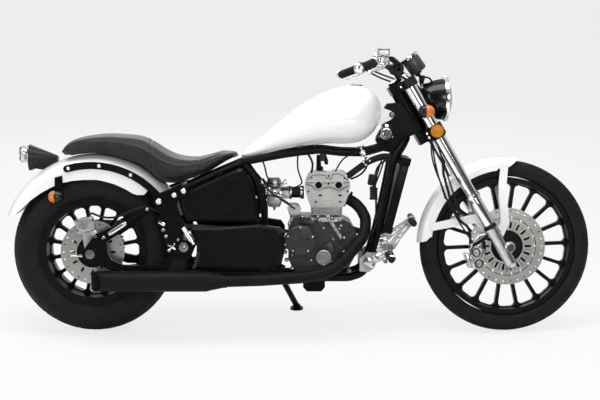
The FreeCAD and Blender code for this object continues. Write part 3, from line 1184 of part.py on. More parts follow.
def rear_blinker(sign, side):
    at = V(-949, sign * 138, 545)
    bullet = turned("rear_bullet_" + side, [(0, -30), (12, -28), (21, -18), (25, -4), (25, 6), (20, 20), (10, 28), (0, 30)])
    place_on(bullet, at, -X)
    stalk = cylinder("rear_stalk_" + side, 6, 26, V(-945, sign * (float(rh) + GAP), 548), V(0, sign, 0))
    plate = solid("rear_stalk_plate_" + side, side_plate(
        [(-960, 620), (-925, 628), (-925, 600), (-932, 538), (-954, 538), (-958, 590)],
        sign * (float(rh) + GAP), sign * (float(rh) + GAP + 3)))
    return fuse("rear_blinker_" + side, [bullet, stalk, plate])


node("rear_indicators", group_of("rear_blinkers", both(rear_blinker)))

# ---------------------------------------------------------------- rear brake
rc = REAR + V(-26, -float(rear_disc_y), 104)
rear_cal = fuse("rear_caliper_block", [
    box("rear_caliper_body", (76, 50, 54), rc + V(0, 0, 3), Rot(Y, -14)),
    cylinder("rear_caliper_pot", 17, 8, rc + V(-8, -32, 4)),
    solid("rear_caliper_arm", side_plate([(REAR.x + 26, REAR.z - 22), (REAR.x - 26, REAR.z - 22), (REAR.x - 28, REAR.z + 20), (REAR.x - 34, REAR.z + 66), (REAR.x - 52, REAR.z + 84),
                                          (REAR.x - 40, REAR.z + 112), (REAR.x + 6, REAR.z + 112), (REAR.x + 26, REAR.z + 70),
                                          (REAR.x + 24, REAR.z + 20)],
                                         -float(rear_disc_y) - 12, -float(rear_disc_y) - 20))])
rear_slot = fuse("rear_caliper_rooms", [
    cylinder("rear_caliper_slot", S.rear_disc_r + 4, S.disc_t + 4, REAR - Y * float(rear_disc_y + S.disc_t / 2 + 2)),
    cylinder("rear_caliper_spacer_room", 18.3, 80, REAR - Y * 160),
    cylinder("rear_caliper_hub_room", 80, 60, REAR - Y * float(rear_disc_y - 1))])
node("rear_caliper", cut("rear_caliper_cut", rear_cal, rear_slot))
mc = fuse("rear_master_set", [
    cylinder("rear_master_tube", 11, 60, V(-420, -PLATE_Y - PLATE_T - 14, 380), V(-0.52, 0, 0.85)),
    box("rear_master_foot", (30, 8, 36), V(-436, -PLATE_Y - PLATE_T - 4.3, 398)),
    cylinder("rear_master_neck", 6, 12, V(-436, -PLATE_Y - PLATE_T - 14, 402)),
    cylinder("rear_master_end", 7, 22, V(-422, -PLATE_Y - PLATE_T - 14, 384), V(0.52, 0, -0.85))])
node("rear_master_cylinder", mc)

# ---------------------------------------------------------------- forward controls
PEG = V(ahead(346), 0, 323)
pegs, pads = [], []
for sign, side in ((-1, "right"), (1, "left")):
    y = float(S.frame_y) + float(S.frame_r)
    arm = tube(drawn_out([(262, sign * (y + 6), 282), (286, sign * (y + 40), 296)]) + [(PEG.x, sign * 165, PEG.z)], 12, 30)
    pegs.append(cut("peg_bracket_" + side, fuse("peg_bracket_set_" + side, [
        solid("peg_plate_" + side, side_plate(drawn_out([(234, 250), (234, 300), (262, 324), (298, 324), (307, 300), (290, 262),
                                                    (270, 246)]), sign * (y + GAP), sign * (y + 12))),
        solid("peg_arm_" + side, arm),
        cylinder("peg_pin_" + side, 8, 166, V(PEG.x, sign * 160, PEG.z), V(0, sign, 0)),
        cylinder("peg_collar_" + side, 17, 8, V(PEG.x, sign * 168, PEG.z), V(0, sign, 0))]),
        solid("peg_frame_room_" + side, tube(down_tube(sign), S.frame_r + 0.3, 70))))
    pads.append(cut("peg_rubber_" + side, cylinder("peg_skin_" + side, 15, 150, V(PEG.x, sign * 180, PEG.z),
                                                   V(0, sign, 0)),
                    cylinder("peg_core_" + side, 8.05, 147, V(PEG.x, sign * 179, PEG.z), V(0, sign, 0))))
node("peg_brackets", group_of("peg_bracket_pair", pegs))
node("peg_rubbers", group_of("peg_rubber_pair", pads))


def foot_lever(sign, side):
    """Brake pedal on the right and shift lever on the left: a trussed arm with a toe peg."""
    y0, y1 = 178, 186
    drop = math.radians(18.7 if sign > 0 else 0)

    def swung(points):
        """Turned about the lever's hub: the shift lever rests lower than the brake pedal."""
        hub = (PEG.x + 2, PEG.z + 30)
        return [(hub[0] + (x - 348) * math.cos(drop) + (z - 353) * math.sin(drop),
                 hub[1] - (x - 348) * math.sin(drop) + (z - 353) * math.cos(drop)) for x, z in points]

    truss = side_plate(swung([(336, 352), (368, 346), (388, 384), (442, 450), (440, 468), (420, 468), (400, 440),
                              (352, 378)]), sign * y0, sign * y1)
    hole_a = side_plate(swung([(366, 366), (376, 372), (396, 404), (384, 400)]), sign * 170, sign * 200)
    hole_b = side_plate(swung([(392, 410), (402, 414), (420, 440), (410, 436)]), sign * 170, sign * 200)
    toe = swung([(431, 458)])[0]
    truss = truss.cut([hole_a, hole_b])
    parts = [
        solid("lever_truss_" + side, truss),
        cylinder("lever_toe_" + side, 9, 112, V(toe[0], sign * (y1 - 1), toe[1]), V(0, sign, 0)),
        cylinder("lever_toe_end_" + side, 11, 10, V(toe[0], sign * (y1 + 108), toe[1]), V(0, sign, 0)),
        cylinder("lever_hub_" + side, 15, 16, V(PEG.x + 2, sign * (y0 - 1.7), PEG.z + 30), V(0, sign, 0))]
    return fuse("foot_lever_" + side, parts)


node("foot_levers", group_of("foot_lever_pair", both(foot_lever)))

# ---------------------------------------------------------------- side stand
STAND_PIVOT = V(-92, 132, 222)
FOOT_REACH = V(78, 160, 0)


def floor_under(x, y):
    """Height of the real floor in the upright drawing frame."""
    return y * math.tan(lean)


foot_y = STAND_PIVOT.y + FOOT_REACH.y
FOOT = V(STAND_PIVOT.x + FOOT_REACH.x, foot_y, floor_under(0, foot_y))
PAD_T = 9.0
up_floor = V(0, -math.sin(lean), math.cos(lean))
leg_end = FOOT + up_floor * (PAD_T + 6)
down_way = (leg_end - STAND_PIVOT).normalize()
stowed_way = V(-0.985, 0.16, 0.05).normalize()
STAND_AXIS = down_way.cross(stowed_way).normalize()
leg_root = STAND_PIVOT + down_way * 24
stand = fuse("side_stand_set", [
    cylinder("stand_leg", S.stand_r, (leg_end - leg_root).Length, leg_root, leg_end - leg_root),
    cylinder("stand_pad", 27, PAD_T, FOOT, up_floor),
    cone("stand_ankle", 20, 13, 14, FOOT + up_floor * PAD_T, up_floor),
    cylinder("stand_eye", 20, 14, STAND_PIVOT - STAND_AXIS * 7, STAND_AXIS),
    solid("stand_neck", Part.makeCylinder(float(S.stand_r) - 0.5, 8, STAND_PIVOT + down_way * 19, down_way))])
stand_bore = cylinder("stand_bore", 6.1, 60, STAND_PIVOT - STAND_AXIS * 30, STAND_AXIS)
node("side_stand", cut("side_stand_cut", stand, stand_bore))

ear = V(STAND_AXIS.x, STAND_AXIS.y, STAND_AXIS.z)
carrier_in = V(STAND_PIVOT.x, float(S.frame_y) + 4, FLOOR_Z)
fork_ears = fuse("stand_ears", [
    cylinder("stand_ear_in", 18, 6, STAND_PIVOT - ear * 13.5, ear),
    cylinder("stand_ear_out", 18, 6, STAND_PIVOT + ear * 7.5, ear),
    cylinder("stand_pin", 6, 34, STAND_PIVOT - ear * 17, ear),
    cylinder("stand_pin_head", 10, 6, STAND_PIVOT + ear * 13.5, ear)])
# The bracket web joins both ears behind the leg's sweep and runs in to the frame tube.
web_dir = -(down_way + stowed_way).normalize()
web = fuse("stand_web", [
    box("stand_web_plate", (34, 10, 27), STAND_PIVOT + web_dir * 27, Rot(ear.cross(web_dir), web_dir, ear, "ZYX")),
    cylinder("stand_web_arm", 11, (STAND_PIVOT + web_dir * 26 - carrier_in).Length, carrier_in,
             STAND_PIVOT + web_dir * 26 - carrier_in)])
sweep_room = cylinder("stand_sweep_room", 21, 15, STAND_PIVOT - ear * 7.5, ear)
bracket_cut = cut("stand_bracket_cut", fuse("stand_bracket_set", [fork_ears, web]), fuse("stand_rooms", [
    cut("stand_room_ring", sweep_room, cylinder("stand_pin_keep", 6, 60, STAND_PIVOT - ear * 30, ear)),
    solid("stand_tube_room", tube(down_tube(1), S.frame_r + 0.3, 70))]))
node("stand_bracket", bracket_cut)


# ---------------------------------------------------------------- ignition lock
lock = fuse("ignition_lock_set", [
    cylinder("lock_barrel", 19, 34, V(ahead(338), -GAP - 30, 800), V(0, -1, 0)),
    cylinder("lock_stem", 12, 24, V(ahead(338), -GAP - 30, 776), V(0, -1, 0))])
node("ignition_lock", lock)


def write_all():
    doc.recompute()
    failed = [o.Name for o in doc.Objects if "Invalid" in o.State or "Error" in o.State]
    if failed:
        raise SystemExit("failed features: " + ", ".join(failed))
    os.makedirs("parts", exist_ok=True)
    whole = FreeCAD.BoundBox()
    for thing in NODES:
        shape = thing.Shape
        if shape.isNull() or not shape.isValid() or not shape.Solids:
            raise SystemExit("bad shape: " + thing.Label)
        whole.add(shape.BoundBox)
        shape.exportStep("parts/%s.step" % thing.Label)
        print("%-22s %2d solids %10.0f mm3" % (thing.Label, len(shape.Solids), shape.Volume))
    print("box %s" % whole)
    print("steering pivot %s axis %s" % (ROW.multVec(STEER_PIVOT), ROW.Rotation.multVec(UP_FORK)))
    turn = ROW * TURN
    print("front axle %s axis %s" % (turn.multVec(FRONT), turn.Rotation.multVec(Y)))
    print("rear axle %s axis %s" % (ROW.multVec(REAR), ROW.Rotation.multVec(Y)))
    print("stand pivot %s axis %s" % (ROW.multVec(STAND_PIVOT), ROW.Rotation.multVec(STAND_AXIS)))
    for sign, side in ((-1, "right"), (1, "left")):
        spot, way = along_grip(sign, 0.14)
        out = V(0.86, sign * 0.10, -0.12)
        out = (out - way * out.dot(way)).normalize()
        up = way.cross(out).normalize()
        up = up if up.z > 0 else -up
        mouth = spot + way * 8 + out * 26 + up * 28
        print("mirror hole %s %s axis %s" % (side, turn.multVec(mouth), turn.Rotation.multVec(up)))
        print("bobbin hole %s %s" % (side, ROW.multVec(V(-770, sign * ARM_OUT, 330))))


write_all()
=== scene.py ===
# %% [markdown]
# # A leaning cruiser motorcycle
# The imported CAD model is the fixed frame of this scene. Everything below dresses it: tyres with a real
# tread, a stuffed seat, chrome bezels, bolts, cables and paint. Each cell makes one thing and says why.

# %% Load the frame
import json
import math

import bmesh
import bpy
from mathutils import Matrix, Vector
from mathutils.bvhtree import BVHTree


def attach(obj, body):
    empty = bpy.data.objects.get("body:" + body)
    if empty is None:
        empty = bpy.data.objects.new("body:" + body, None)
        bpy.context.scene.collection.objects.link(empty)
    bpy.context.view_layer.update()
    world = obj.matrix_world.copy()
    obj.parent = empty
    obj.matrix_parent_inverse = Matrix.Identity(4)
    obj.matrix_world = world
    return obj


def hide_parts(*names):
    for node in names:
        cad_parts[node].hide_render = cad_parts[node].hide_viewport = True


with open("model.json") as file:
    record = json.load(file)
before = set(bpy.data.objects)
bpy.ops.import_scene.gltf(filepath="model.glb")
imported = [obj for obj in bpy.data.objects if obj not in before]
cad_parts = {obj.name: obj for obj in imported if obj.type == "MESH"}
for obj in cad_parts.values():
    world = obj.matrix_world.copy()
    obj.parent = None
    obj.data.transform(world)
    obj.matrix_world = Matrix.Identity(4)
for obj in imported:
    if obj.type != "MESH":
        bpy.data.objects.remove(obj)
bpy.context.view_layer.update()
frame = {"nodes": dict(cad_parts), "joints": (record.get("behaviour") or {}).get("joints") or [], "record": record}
nodes = frame["nodes"]


# %% [markdown]
# The machine leans on its side stand and its bars are turned a little, so almost nothing on it is square
# to the room. Typing leaned coordinates by hand would be hopeless. Instead three small drawing frames are
# read from the joints: one for the chassis, one for whatever turns with the bars, one along the fork legs.
# Each piece is drawn upright in millimetres, and its frame puts it in place.

# %% Drawing frames read from the joints
joints = {j["name"]: j for j in frame["joints"]}


def vec(values):
    return Vector([float(v) for v in values])


def drawing_frame(forward, sideways, up, known_mm, known_at):
    """A matrix from millimetres in an upright drawing to metres in the room."""
    turn = Matrix((forward, sideways, up)).transposed().to_4x4()
    turn = turn @ Matrix.Scale(0.001, 4)
    return Matrix.Translation(vec(known_at) - (turn @ Vector(known_mm).to_4d()).to_3d()) @ turn


BAR_JOINT, FRONT_JOINT = joints["steering_turn"], joints["front_wheel_spin"]
REAR_JOINT = joints["rear_wheel_spin"]
FRONT = Vector((815.0, 0.0, 339.4))
REAR = Vector((-815.0, 0.0, 324.0))
ROOM_X = Vector((1, 0, 0))
chassis_side = vec(REAR_JOINT["axis"])
CHASSIS = drawing_frame(ROOM_X, chassis_side, ROOM_X.cross(chassis_side), REAR, REAR_JOINT["pos_m"])
fork_side, fork_up = vec(FRONT_JOINT["axis"]).normalized(), vec(BAR_JOINT["axis"]).normalized()
fork_fore = fork_side.cross(fork_up)
FORK = drawing_frame(fork_fore, fork_side, fork_up, (0, 0, 0), FRONT_JOINT["pos_m"])
C30, S30 = math.cos(math.radians(30)), 0.5
BARS = drawing_frame(fork_fore * C30 - fork_up * S30, fork_side, fork_fore * S30 + fork_up * C30, FRONT,
                     FRONT_JOINT["pos_m"])
print("front axle", (BARS @ FRONT)[:], "rear axle", (CHASSIS @ REAR)[:])

# %% [markdown]
# ## Camera, floor and light
# A long lens from well back keeps the wheels round. It sits at chest height and looks a little down. The
# floor is one wide pale plane. It is lit like any floor, so it keeps the shadow, but for camera rays most
# of it is plain white light, as in a studio where the paper is lit on its own.

# %% Camera
LENS_MM, SENSOR_MM, FAR_M = 93.5, 36, 200
CAMERA_BACK, CAMERA_UP = 6176, 1069.5
LOOK_DOWN = 5.08
camera = bpy.data.objects.new("camera", bpy.data.cameras.new("camera"))
bpy.context.scene.collection.objects.link(camera)
camera.data.lens, camera.data.sensor_width, camera.data.clip_end = LENS_MM, SENSOR_MM, FAR_M
camera.location = CHASSIS @ Vector((0, -CAMERA_BACK, CAMERA_UP))
camera.rotation_euler = (math.radians(90 - LOOK_DOWN) + math.atan2(-chassis_side.z, chassis_side.y) * -1, 0, 0)
bpy.context.scene.camera = camera
print("camera at", camera.location[:], "looks down", 90 - math.degrees(camera.rotation_euler.x), "degrees")

# %% Floor
PAPER_GLOW = 0.8


def node_material(name):
    """An empty node material, its tree and its output."""
    material = bpy.data.materials.new(name)
    material.use_nodes = True
    tree = material.node_tree
    tree.nodes.clear()
    return material, tree, tree.nodes.new("ShaderNodeOutputMaterial")


floor_mesh = bmesh.new()
bmesh.ops.create_circle(floor_mesh, cap_ends=True, segments=96, radius=70)
floor = bpy.data.objects.new("floor", bpy.data.meshes.new("floor"))
floor_mesh.to_mesh(floor.data)
floor_mesh.free()
bpy.context.scene.collection.objects.link(floor)
paper, tree, out = node_material("studio_paper")
lit = tree.nodes.new("ShaderNodeBsdfDiffuse")
lit.inputs["Color"].default_value = (0.86, 0.86, 0.865, 1)
glow = tree.nodes.new("ShaderNodeEmission")
glow.inputs["Color"].default_value = (0.95, 0.95, 0.955, 1)
blend, rays = tree.nodes.new("ShaderNodeMixShader"), tree.nodes.new("ShaderNodeLightPath")
glowing = tree.nodes.new("ShaderNodeMath")
glowing.operation = "MULTIPLY"
glowing.inputs[1].default_value = PAPER_GLOW
tree.links.new(rays.outputs["Is Camera Ray"], glowing.inputs[0])
tree.links.new(glowing.outputs[0], blend.inputs[0])
tree.links.new(lit.outputs[0], blend.inputs[1])
tree.links.new(glow.outputs[0], blend.inputs[2])
tree.links.new(blend.outputs[0], out.inputs["Surface"])
floor.data.materials.append(paper)

# %% [markdown]
# The room behind the machine is pale and the side the camera stands on is dark, as in a real studio. Pale
# paint doesn't care, but chrome and black paint mirror the room: with pale walls all round, black turns grey
# and chrome turns flat.

# %% World and lamps
world = bpy.data.worlds.new("studio")
bpy.context.scene.world = world
world.use_nodes = True
tree = world.node_tree
tree.nodes.clear()
out = tree.nodes.new("ShaderNodeOutputWorld")
seen, room = tree.nodes.new("ShaderNodeBackground"), tree.nodes.new("ShaderNodeBackground")
seen.inputs["Color"].default_value, seen.inputs["Strength"].default_value = (0.93, 0.93, 0.935, 1), 1.0
where, axes = tree.nodes.new("ShaderNodeTexCoord"), tree.nodes.new("ShaderNodeSeparateXYZ")
tree.links.new(where.outputs["Generated"], axes.inputs[0])
walls, ceiling = tree.nodes.new("ShaderNodeMapRange"), tree.nodes.new("ShaderNodeMapRange")
for ramp, axis, low, high, a, b in ((walls, "Y", -0.35, 0.25, 0.10, 0.85), (ceiling, "Z", 0.45, 0.8, 0.0, 0.6)):
    ramp.interpolation_type = "SMOOTHSTEP"
    for socket, value in (("From Min", low), ("From Max", high), ("To Min", a), ("To Max", b)):
        ramp.inputs[socket].default_value = value
    tree.links.new(axes.outputs[axis], ramp.inputs["Value"])
brighter = tree.nodes.new("ShaderNodeMath")
brighter.operation = "MAXIMUM"
tree.links.new(walls.outputs["Result"], brighter.inputs[0])
tree.links.new(ceiling.outputs["Result"], brighter.inputs[1])
tree.links.new(brighter.outputs[0], room.inputs["Strength"])
rays, either, blend = (tree.nodes.new(k) for k in ("ShaderNodeLightPath", "ShaderNodeMath", "ShaderNodeMixShader"))
either.operation = "MAXIMUM"
tree.links.new(rays.outputs["Is Camera Ray"], either.inputs[0])
tree.links.new(rays.outputs["Is Transmission Ray"], either.inputs[1])
tree.links.new(either.outputs[0], blend.inputs[0])
tree.links.new(room.outputs[0], blend.inputs[1])
tree.links.new(seen.outputs[0], blend.inputs[2])
tree.links.new(blend.outputs[0], out.inputs["Surface"])
bpy.context.scene.view_settings.view_transform = "Standard"


def softbox(name, at, aim, width, height, watts):
    """A large area lamp that looks at a point."""
    lamp = bpy.data.lights.new(name, "AREA")
    lamp.shape, lamp.size, lamp.size_y, lamp.energy = "RECTANGLE", width, height, watts
    box = bpy.data.objects.new(name, lamp)
    bpy.context.scene.collection.objects.link(box)
    box.location = at
    box.rotation_euler = (Vector(aim) - Vector(at)).to_track_quat("-Z", "Y").to_euler()
    return box


softbox("overhead", (0.0, -0.5, 3.2), (0, 0, 0.4), 3.8, 1.4, 80)
softbox("key", (1.2, -4.6, 2.4), (0.1, 0, 0.5), 2.2, 1.6, 80)
softbox("side", (-3.6, -2.6, 1.8), (-0.4, 0, 0.5), 0.9, 2.2, 55)
softbox("back", (-0.6, 4.2, 2.6), (0, 0, 0.5), 3.0, 1.6, 52)

# %% [markdown]
# ## Finishes
# Every finish is a node tree on Object coordinates, so a pattern has the same size on a bolt and on a tank.
# Most follow one plan: a noise that shifts the colour a little, a noise that shifts the gloss, and a fine
# bump. The numbers differ: enamel is nearly smooth under a clear coat, castings are grainy, rubber is dull.

# %% Helpers for node trees
def shader(name, colour, rough, metal=0.0, **plain):
    """A Principled material whose constant values sit on the shader's own sockets."""
    material, tree, out = node_material(name)
    body = tree.nodes.new("ShaderNodeBsdfPrincipled")
    body.inputs["Base Color"].default_value = (*colour, 1)
    body.inputs["Roughness"].default_value = rough
    body.inputs["Metallic"].default_value = metal
    for socket, value in plain.items():
        body.inputs[socket.replace("_", " ")].default_value = value
    tree.links.new(body.outputs[0], out.inputs["Surface"])
    return material, tree, body


def place(tree, size=1.0, stretch=(1, 1, 1)):
    """Object coordinates, scaled so that one unit is `size` metres."""
    where, fit = tree.nodes.new("ShaderNodeTexCoord"), tree.nodes.new("ShaderNodeMapping")
    fit.inputs["Scale"].default_value = [s / size for s in stretch]
    tree.links.new(where.outputs["Object"], fit.inputs["Vector"])
    return fit.outputs["Vector"]


def cloud(tree, size, detail=3.0, rough=0.5, stretch=(1, 1, 1)):
    """Noise whose blotches are about `size` metres across, from 0 to 1."""
    n = tree.nodes.new("ShaderNodeTexNoise")
    n.inputs["Scale"].default_value = 1.0
    n.inputs["Detail"].default_value = detail
    n.inputs["Roughness"].default_value = rough
    tree.links.new(place(tree, size, stretch), n.inputs["Vector"])
    return n.outputs["Fac"]


def cells(tree, size, feature="F1", stretch=(1, 1, 1)):
    """Voronoi cells about `size` metres across."""
    v = tree.nodes.new("ShaderNodeTexVoronoi")
    v.feature = feature
    v.inputs["Scale"].default_value = 1.0
    tree.links.new(place(tree, size, stretch), v.inputs["Vector"])
    return v.outputs["Distance"]


def between(tree, factor, low, high, start=0.3, end=0.7):
    """Map a factor to a range."""
    m = tree.nodes.new("ShaderNodeMapRange")
    for socket, value in (("From Min", start), ("From Max", end), ("To Min", low), ("To Max", high)):
        m.inputs[socket].default_value = value
    tree.links.new(factor, m.inputs["Value"])
    return m.outputs["Result"]


def two_tone(tree, factor, dark, light, start=0.3, end=0.7):
    """Blend two colours by a factor."""
    r = tree.nodes.new("ShaderNodeValToRGB")
    r.color_ramp.elements[0].position, r.color_ramp.elements[1].position = start, end
    r.color_ramp.elements[0].color, r.color_ramp.elements[1].color = (*dark, 1), (*light, 1)
    tree.links.new(factor, r.inputs["Fac"])
    return r.outputs["Color"]


def relief(tree, body, height, strength, depth):
    """Bump from a height, stacked on any bump the shader already has."""
    b = tree.nodes.new("ShaderNodeBump")
    b.inputs["Strength"].default_value, b.inputs["Distance"].default_value = strength, depth
    before = body.inputs["Normal"].links
    if before:
        tree.links.new(before[0].from_socket, b.inputs["Normal"])
    tree.links.new(height, b.inputs["Height"])
    tree.links.new(b.outputs["Normal"], body.inputs["Normal"])


def surface(name, colour, rough, metal=0.0, tint=0.06, grain=0.004, grain_bump=0.1, depth=0.0003, spread=0.06,
            patch=0.12, **plain):
    """The common plan: patchy colour, patchy gloss and a fine bump."""
    material, tree, body = shader(name, colour, rough, metal, **plain)
    wide = cloud(tree, patch, 4)
    dark = [c * (1 - tint) for c in colour]
    light = [min(1, c * (1 + tint)) for c in colour]
    tree.links.new(two_tone(tree, wide, dark, light), body.inputs["Base Color"])
    tree.links.new(between(tree, cloud(tree, patch * 0.35, 5), max(0.02, rough - spread), rough + spread),
                   body.inputs["Roughness"])
    if grain_bump:
        relief(tree, body, cloud(tree, grain, 4, 0.6), grain_bump, depth)
    return material


# %% Paint, metal, rubber and plastic
FINISH = {
    "white_paint": surface("white_enamel", (0.83, 0.83, 0.825), 0.24, tint=0.012, grain=0.006, grain_bump=0.05,
                           depth=0.0002, spread=0.03, Coat_Weight=0.4, Coat_Roughness=0.06),
    "black_paint": surface("frame_black", (0.004, 0.004, 0.0043), 0.3, tint=0.2, grain=0.003, grain_bump=0.12,
                           depth=0.0002, Specular_IOR_Level=0.08),
    "gloss_black": surface("gloss_black", (0.005, 0.005, 0.0055), 0.14, tint=0.2, grain=0.005, grain_bump=0.04,
                           depth=0.0002, spread=0.04, Specular_IOR_Level=0.4),
    "satin_black": surface("satin_black", (0.004, 0.004, 0.0043), 0.3, tint=0.2, grain=0.002, grain_bump=0.1,
                           depth=0.00015, Specular_IOR_Level=0.12),
    "matt_black": surface("stove_black", (0.006, 0.006, 0.0063), 0.5, tint=0.25, grain=0.0016, grain_bump=0.25,
                          depth=0.0002, spread=0.08, Specular_IOR_Level=0.1),
    "chrome": surface("chrome", (0.86, 0.87, 0.88), 0.07, 1.0, tint=0.02, grain=0.03, grain_bump=0.02,
                      depth=0.0002, spread=0.03),
    "cast_aluminium": surface("cast_aluminium", (0.46, 0.46, 0.455), 0.36, 1.0, tint=0.08, grain=0.0018,
                              grain_bump=0.3, depth=0.0003, spread=0.1, patch=0.05),
    "polished": surface("polished_casting", (0.6, 0.6, 0.6), 0.26, 1.0, tint=0.03, grain=0.002, grain_bump=0.1,
                        depth=0.0002, spread=0.05),
    "engine_light": surface("engine_silver", (0.46, 0.455, 0.44), 0.5, 0.7, tint=0.1, grain=0.0016,
                            grain_bump=0.4, depth=0.0004, spread=0.08, patch=0.04),
    "engine_grey": surface("engine_grey", (0.02, 0.02, 0.0205), 0.34, 0.25, tint=0.2, grain=0.0016, grain_bump=0.35,
                           depth=0.0003, spread=0.1, patch=0.05),
    "filter_grey": surface("filter_cover_grey", (0.26, 0.26, 0.265), 0.36, 0.7, tint=0.12, grain=0.0016,
                           grain_bump=0.2, depth=0.0002, spread=0.08, patch=0.04),
    "brass": surface("dull_brass", (0.5, 0.33, 0.13), 0.32, 1.0, tint=0.15, grain=0.003, grain_bump=0.1, patch=0.02),
    "engine_black": surface("engine_black", (0.012, 0.012, 0.0124), 0.4, 0.15, tint=0.3, grain=0.002, grain_bump=0.3,
                            depth=0.0003, spread=0.1),
    "dark_steel": surface("oiled_steel", (0.2, 0.195, 0.19), 0.36, 0.95, tint=0.25, grain=0.003, grain_bump=0.2,
                          depth=0.0002, spread=0.1, patch=0.02),
    "black_rubber": surface("moulded_rubber", (0.009, 0.009, 0.009), 0.55, tint=0.2, grain=0.0012, grain_bump=0.3,
                            depth=0.0002, spread=0.08, Specular_IOR_Level=0.16),
    "black_plastic": surface("moulded_plastic", (0.01, 0.01, 0.0104), 0.4, tint=0.15, grain=0.0009,
                             grain_bump=0.3, depth=0.0001, Specular_IOR_Level=0.25),
}


def tyre_finish(name):
    """Dull rubber, a little paler where dust sits on the tread, with fine mould grain."""
    material, tree, body = shader(name, (0.008, 0.008, 0.0083), 0.62, Specular_IOR_Level=0.13)
    dust = cloud(tree, 0.05, 6, 0.6)
    tree.links.new(two_tone(tree, dust, (0.006, 0.006, 0.0063), (0.012, 0.012, 0.012)), body.inputs["Base Color"])
    tree.links.new(between(tree, cloud(tree, 0.02, 5), 0.55, 0.78), body.inputs["Roughness"])
    relief(tree, body, cloud(tree, 0.0014, 4, 0.6), 0.25, 0.0002)
    return material


def leather_finish(name):
    """Black vinyl leather: small pebbles from cells, larger creases from noise, a soft sheen."""
    material, tree, body = shader(name, (0.014, 0.014, 0.0145), 0.44, Sheen_Weight=0.06, Sheen_Roughness=0.4,
                                  Specular_IOR_Level=0.25)
    tree.links.new(two_tone(tree, cloud(tree, 0.07, 4), (0.01, 0.01, 0.0105), (0.018, 0.018, 0.0185)),
                   body.inputs["Base Color"])
    pebble = cells(tree, 0.0024, "SMOOTH_F1")
    tree.links.new(between(tree, pebble, 0.36, 0.56, 0.1, 0.7), body.inputs["Roughness"])
    relief(tree, body, pebble, 0.35, 0.0004)
    relief(tree, body, cloud(tree, 0.03, 3, 0.5), 0.25, 0.002)
    return material


def brushed(name, joint, colour, rough):
    """Turned steel: fine rings about a wheel's axle, worked out from the distance to it."""
    material, tree, body = shader(name, colour, rough, 1.0)
    where, shift, flat = (tree.nodes.new(k) for k in
                          ("ShaderNodeTexCoord", "ShaderNodeVectorMath", "ShaderNodeVectorMath"))
    shift.operation, shift.inputs[1].default_value = "SUBTRACT", joint["pos_m"]
    tree.links.new(where.outputs["Object"], shift.inputs[0])
    flat.operation, flat.inputs[1].default_value = "CROSS_PRODUCT", joint["axis"]
    tree.links.new(shift.outputs[0], flat.inputs[0])
    reach = tree.nodes.new("ShaderNodeVectorMath")
    reach.operation = "LENGTH"
    tree.links.new(flat.outputs[0], reach.inputs[0])
    rings = tree.nodes.new("ShaderNodeTexNoise")
    rings.noise_dimensions = "1D"
    rings.inputs["Scale"].default_value, rings.inputs["Detail"].default_value = 1400, 3
    tree.links.new(reach.outputs["Value"], rings.inputs["W"])
    tree.links.new(between(tree, rings.outputs["Fac"], rough - 0.08, rough + 0.12), body.inputs["Roughness"])
    tree.links.new(two_tone(tree, rings.outputs["Fac"], [c * 0.8 for c in colour], colour),
                   body.inputs["Base Color"])
    relief(tree, body, rings.outputs["Fac"], 0.12, 0.0001)
    return material


def lens_finish(name, colour, rough=0.03, alpha=1.0):
    """Moulded lens: clear or tinted glass with faint waviness."""
    material, tree, body = shader(name, colour, rough, IOR=1.46, Transmission_Weight=1.0, Alpha=alpha)
    relief(tree, body, cloud(tree, 0.01, 2), 0.05, 0.0005)
    return material


FINISH["tyre_rubber"] = tyre_finish("tyre_rubber")
FINISH["seat_leather"] = leather_finish("seat_leather")
FINISH["disc_steel"] = brushed("front_disc_steel", FRONT_JOINT, (0.62, 0.61, 0.58), 0.26)
FINISH["rear_disc_steel"] = brushed("rear_disc_steel", REAR_JOINT, (0.62, 0.61, 0.58), 0.26)
FINISH["clear_glass"] = lens_finish("clear_lens", (0.97, 0.975, 0.98))
FINISH["amber_glass"] = lens_finish("amber_lens", (1.0, 0.36, 0.03), 0.08)
FINISH["red_glass"] = lens_finish("red_bulb", (0.9, 0.1, 0.06), 0.08)


def moulded_amber(name):
    """Amber plastic over a prism pattern: half clear, half solid, with fine square facets."""
    material, tree, body = shader(name, (0.8, 0.2, 0.01), 0.16, IOR=1.49, Transmission_Weight=0.3,
                                  Coat_Weight=0.25, Coat_Roughness=0.05)
    tree.links.new(two_tone(tree, cells(tree, 0.004), (0.55, 0.11, 0.004), (0.85, 0.26, 0.015), 0.1, 0.6),
                   body.inputs["Base Color"])
    relief(tree, body, cells(tree, 0.004, "F1"), 0.3, 0.0008)
    return material


FINISH["amber_moulded"] = moulded_amber("amber_moulded")
FINISH["amber_reflector"] = surface("amber_reflector", (0.56, 0.2, 0.006), 0.3, tint=0.2, grain=0.003, grain_bump=0.4,
                                    depth=0.0004, Specular_IOR_Level=0.25)
FINISH["rim_black"] = surface("rim_black", (0.004, 0.004, 0.0043), 0.36, tint=0.2, grain=0.004, grain_bump=0.06,
                              depth=0.0002, Specular_IOR_Level=0.12)
FINISH["can_grey"] = surface("can_grey", (0.04, 0.043, 0.046), 0.34, tint=0.1, grain=0.003, grain_bump=0.1,
                             depth=0.0002, Specular_IOR_Level=0.3)
print(len(FINISH), "finishes")

# %% Finishes on the CAD nodes
SLOT = {part["node"]: part["material_slot"] for part in frame["record"]["subparts"]}
SPECIAL = {"rear_disc": "rear_disc_steel", "cylinder_head": "engine_light", "fork_castings": "polished",
           "radiator": "black_paint",
           "front_rim": "rim_black", "rear_rim": "rim_black"}
for label, thing in nodes.items():
    thing.data.materials.clear()
    thing.data.materials.append(FINISH[SPECIAL.get(label, SLOT[label])])
print(len(nodes), "CAD nodes have a finish")

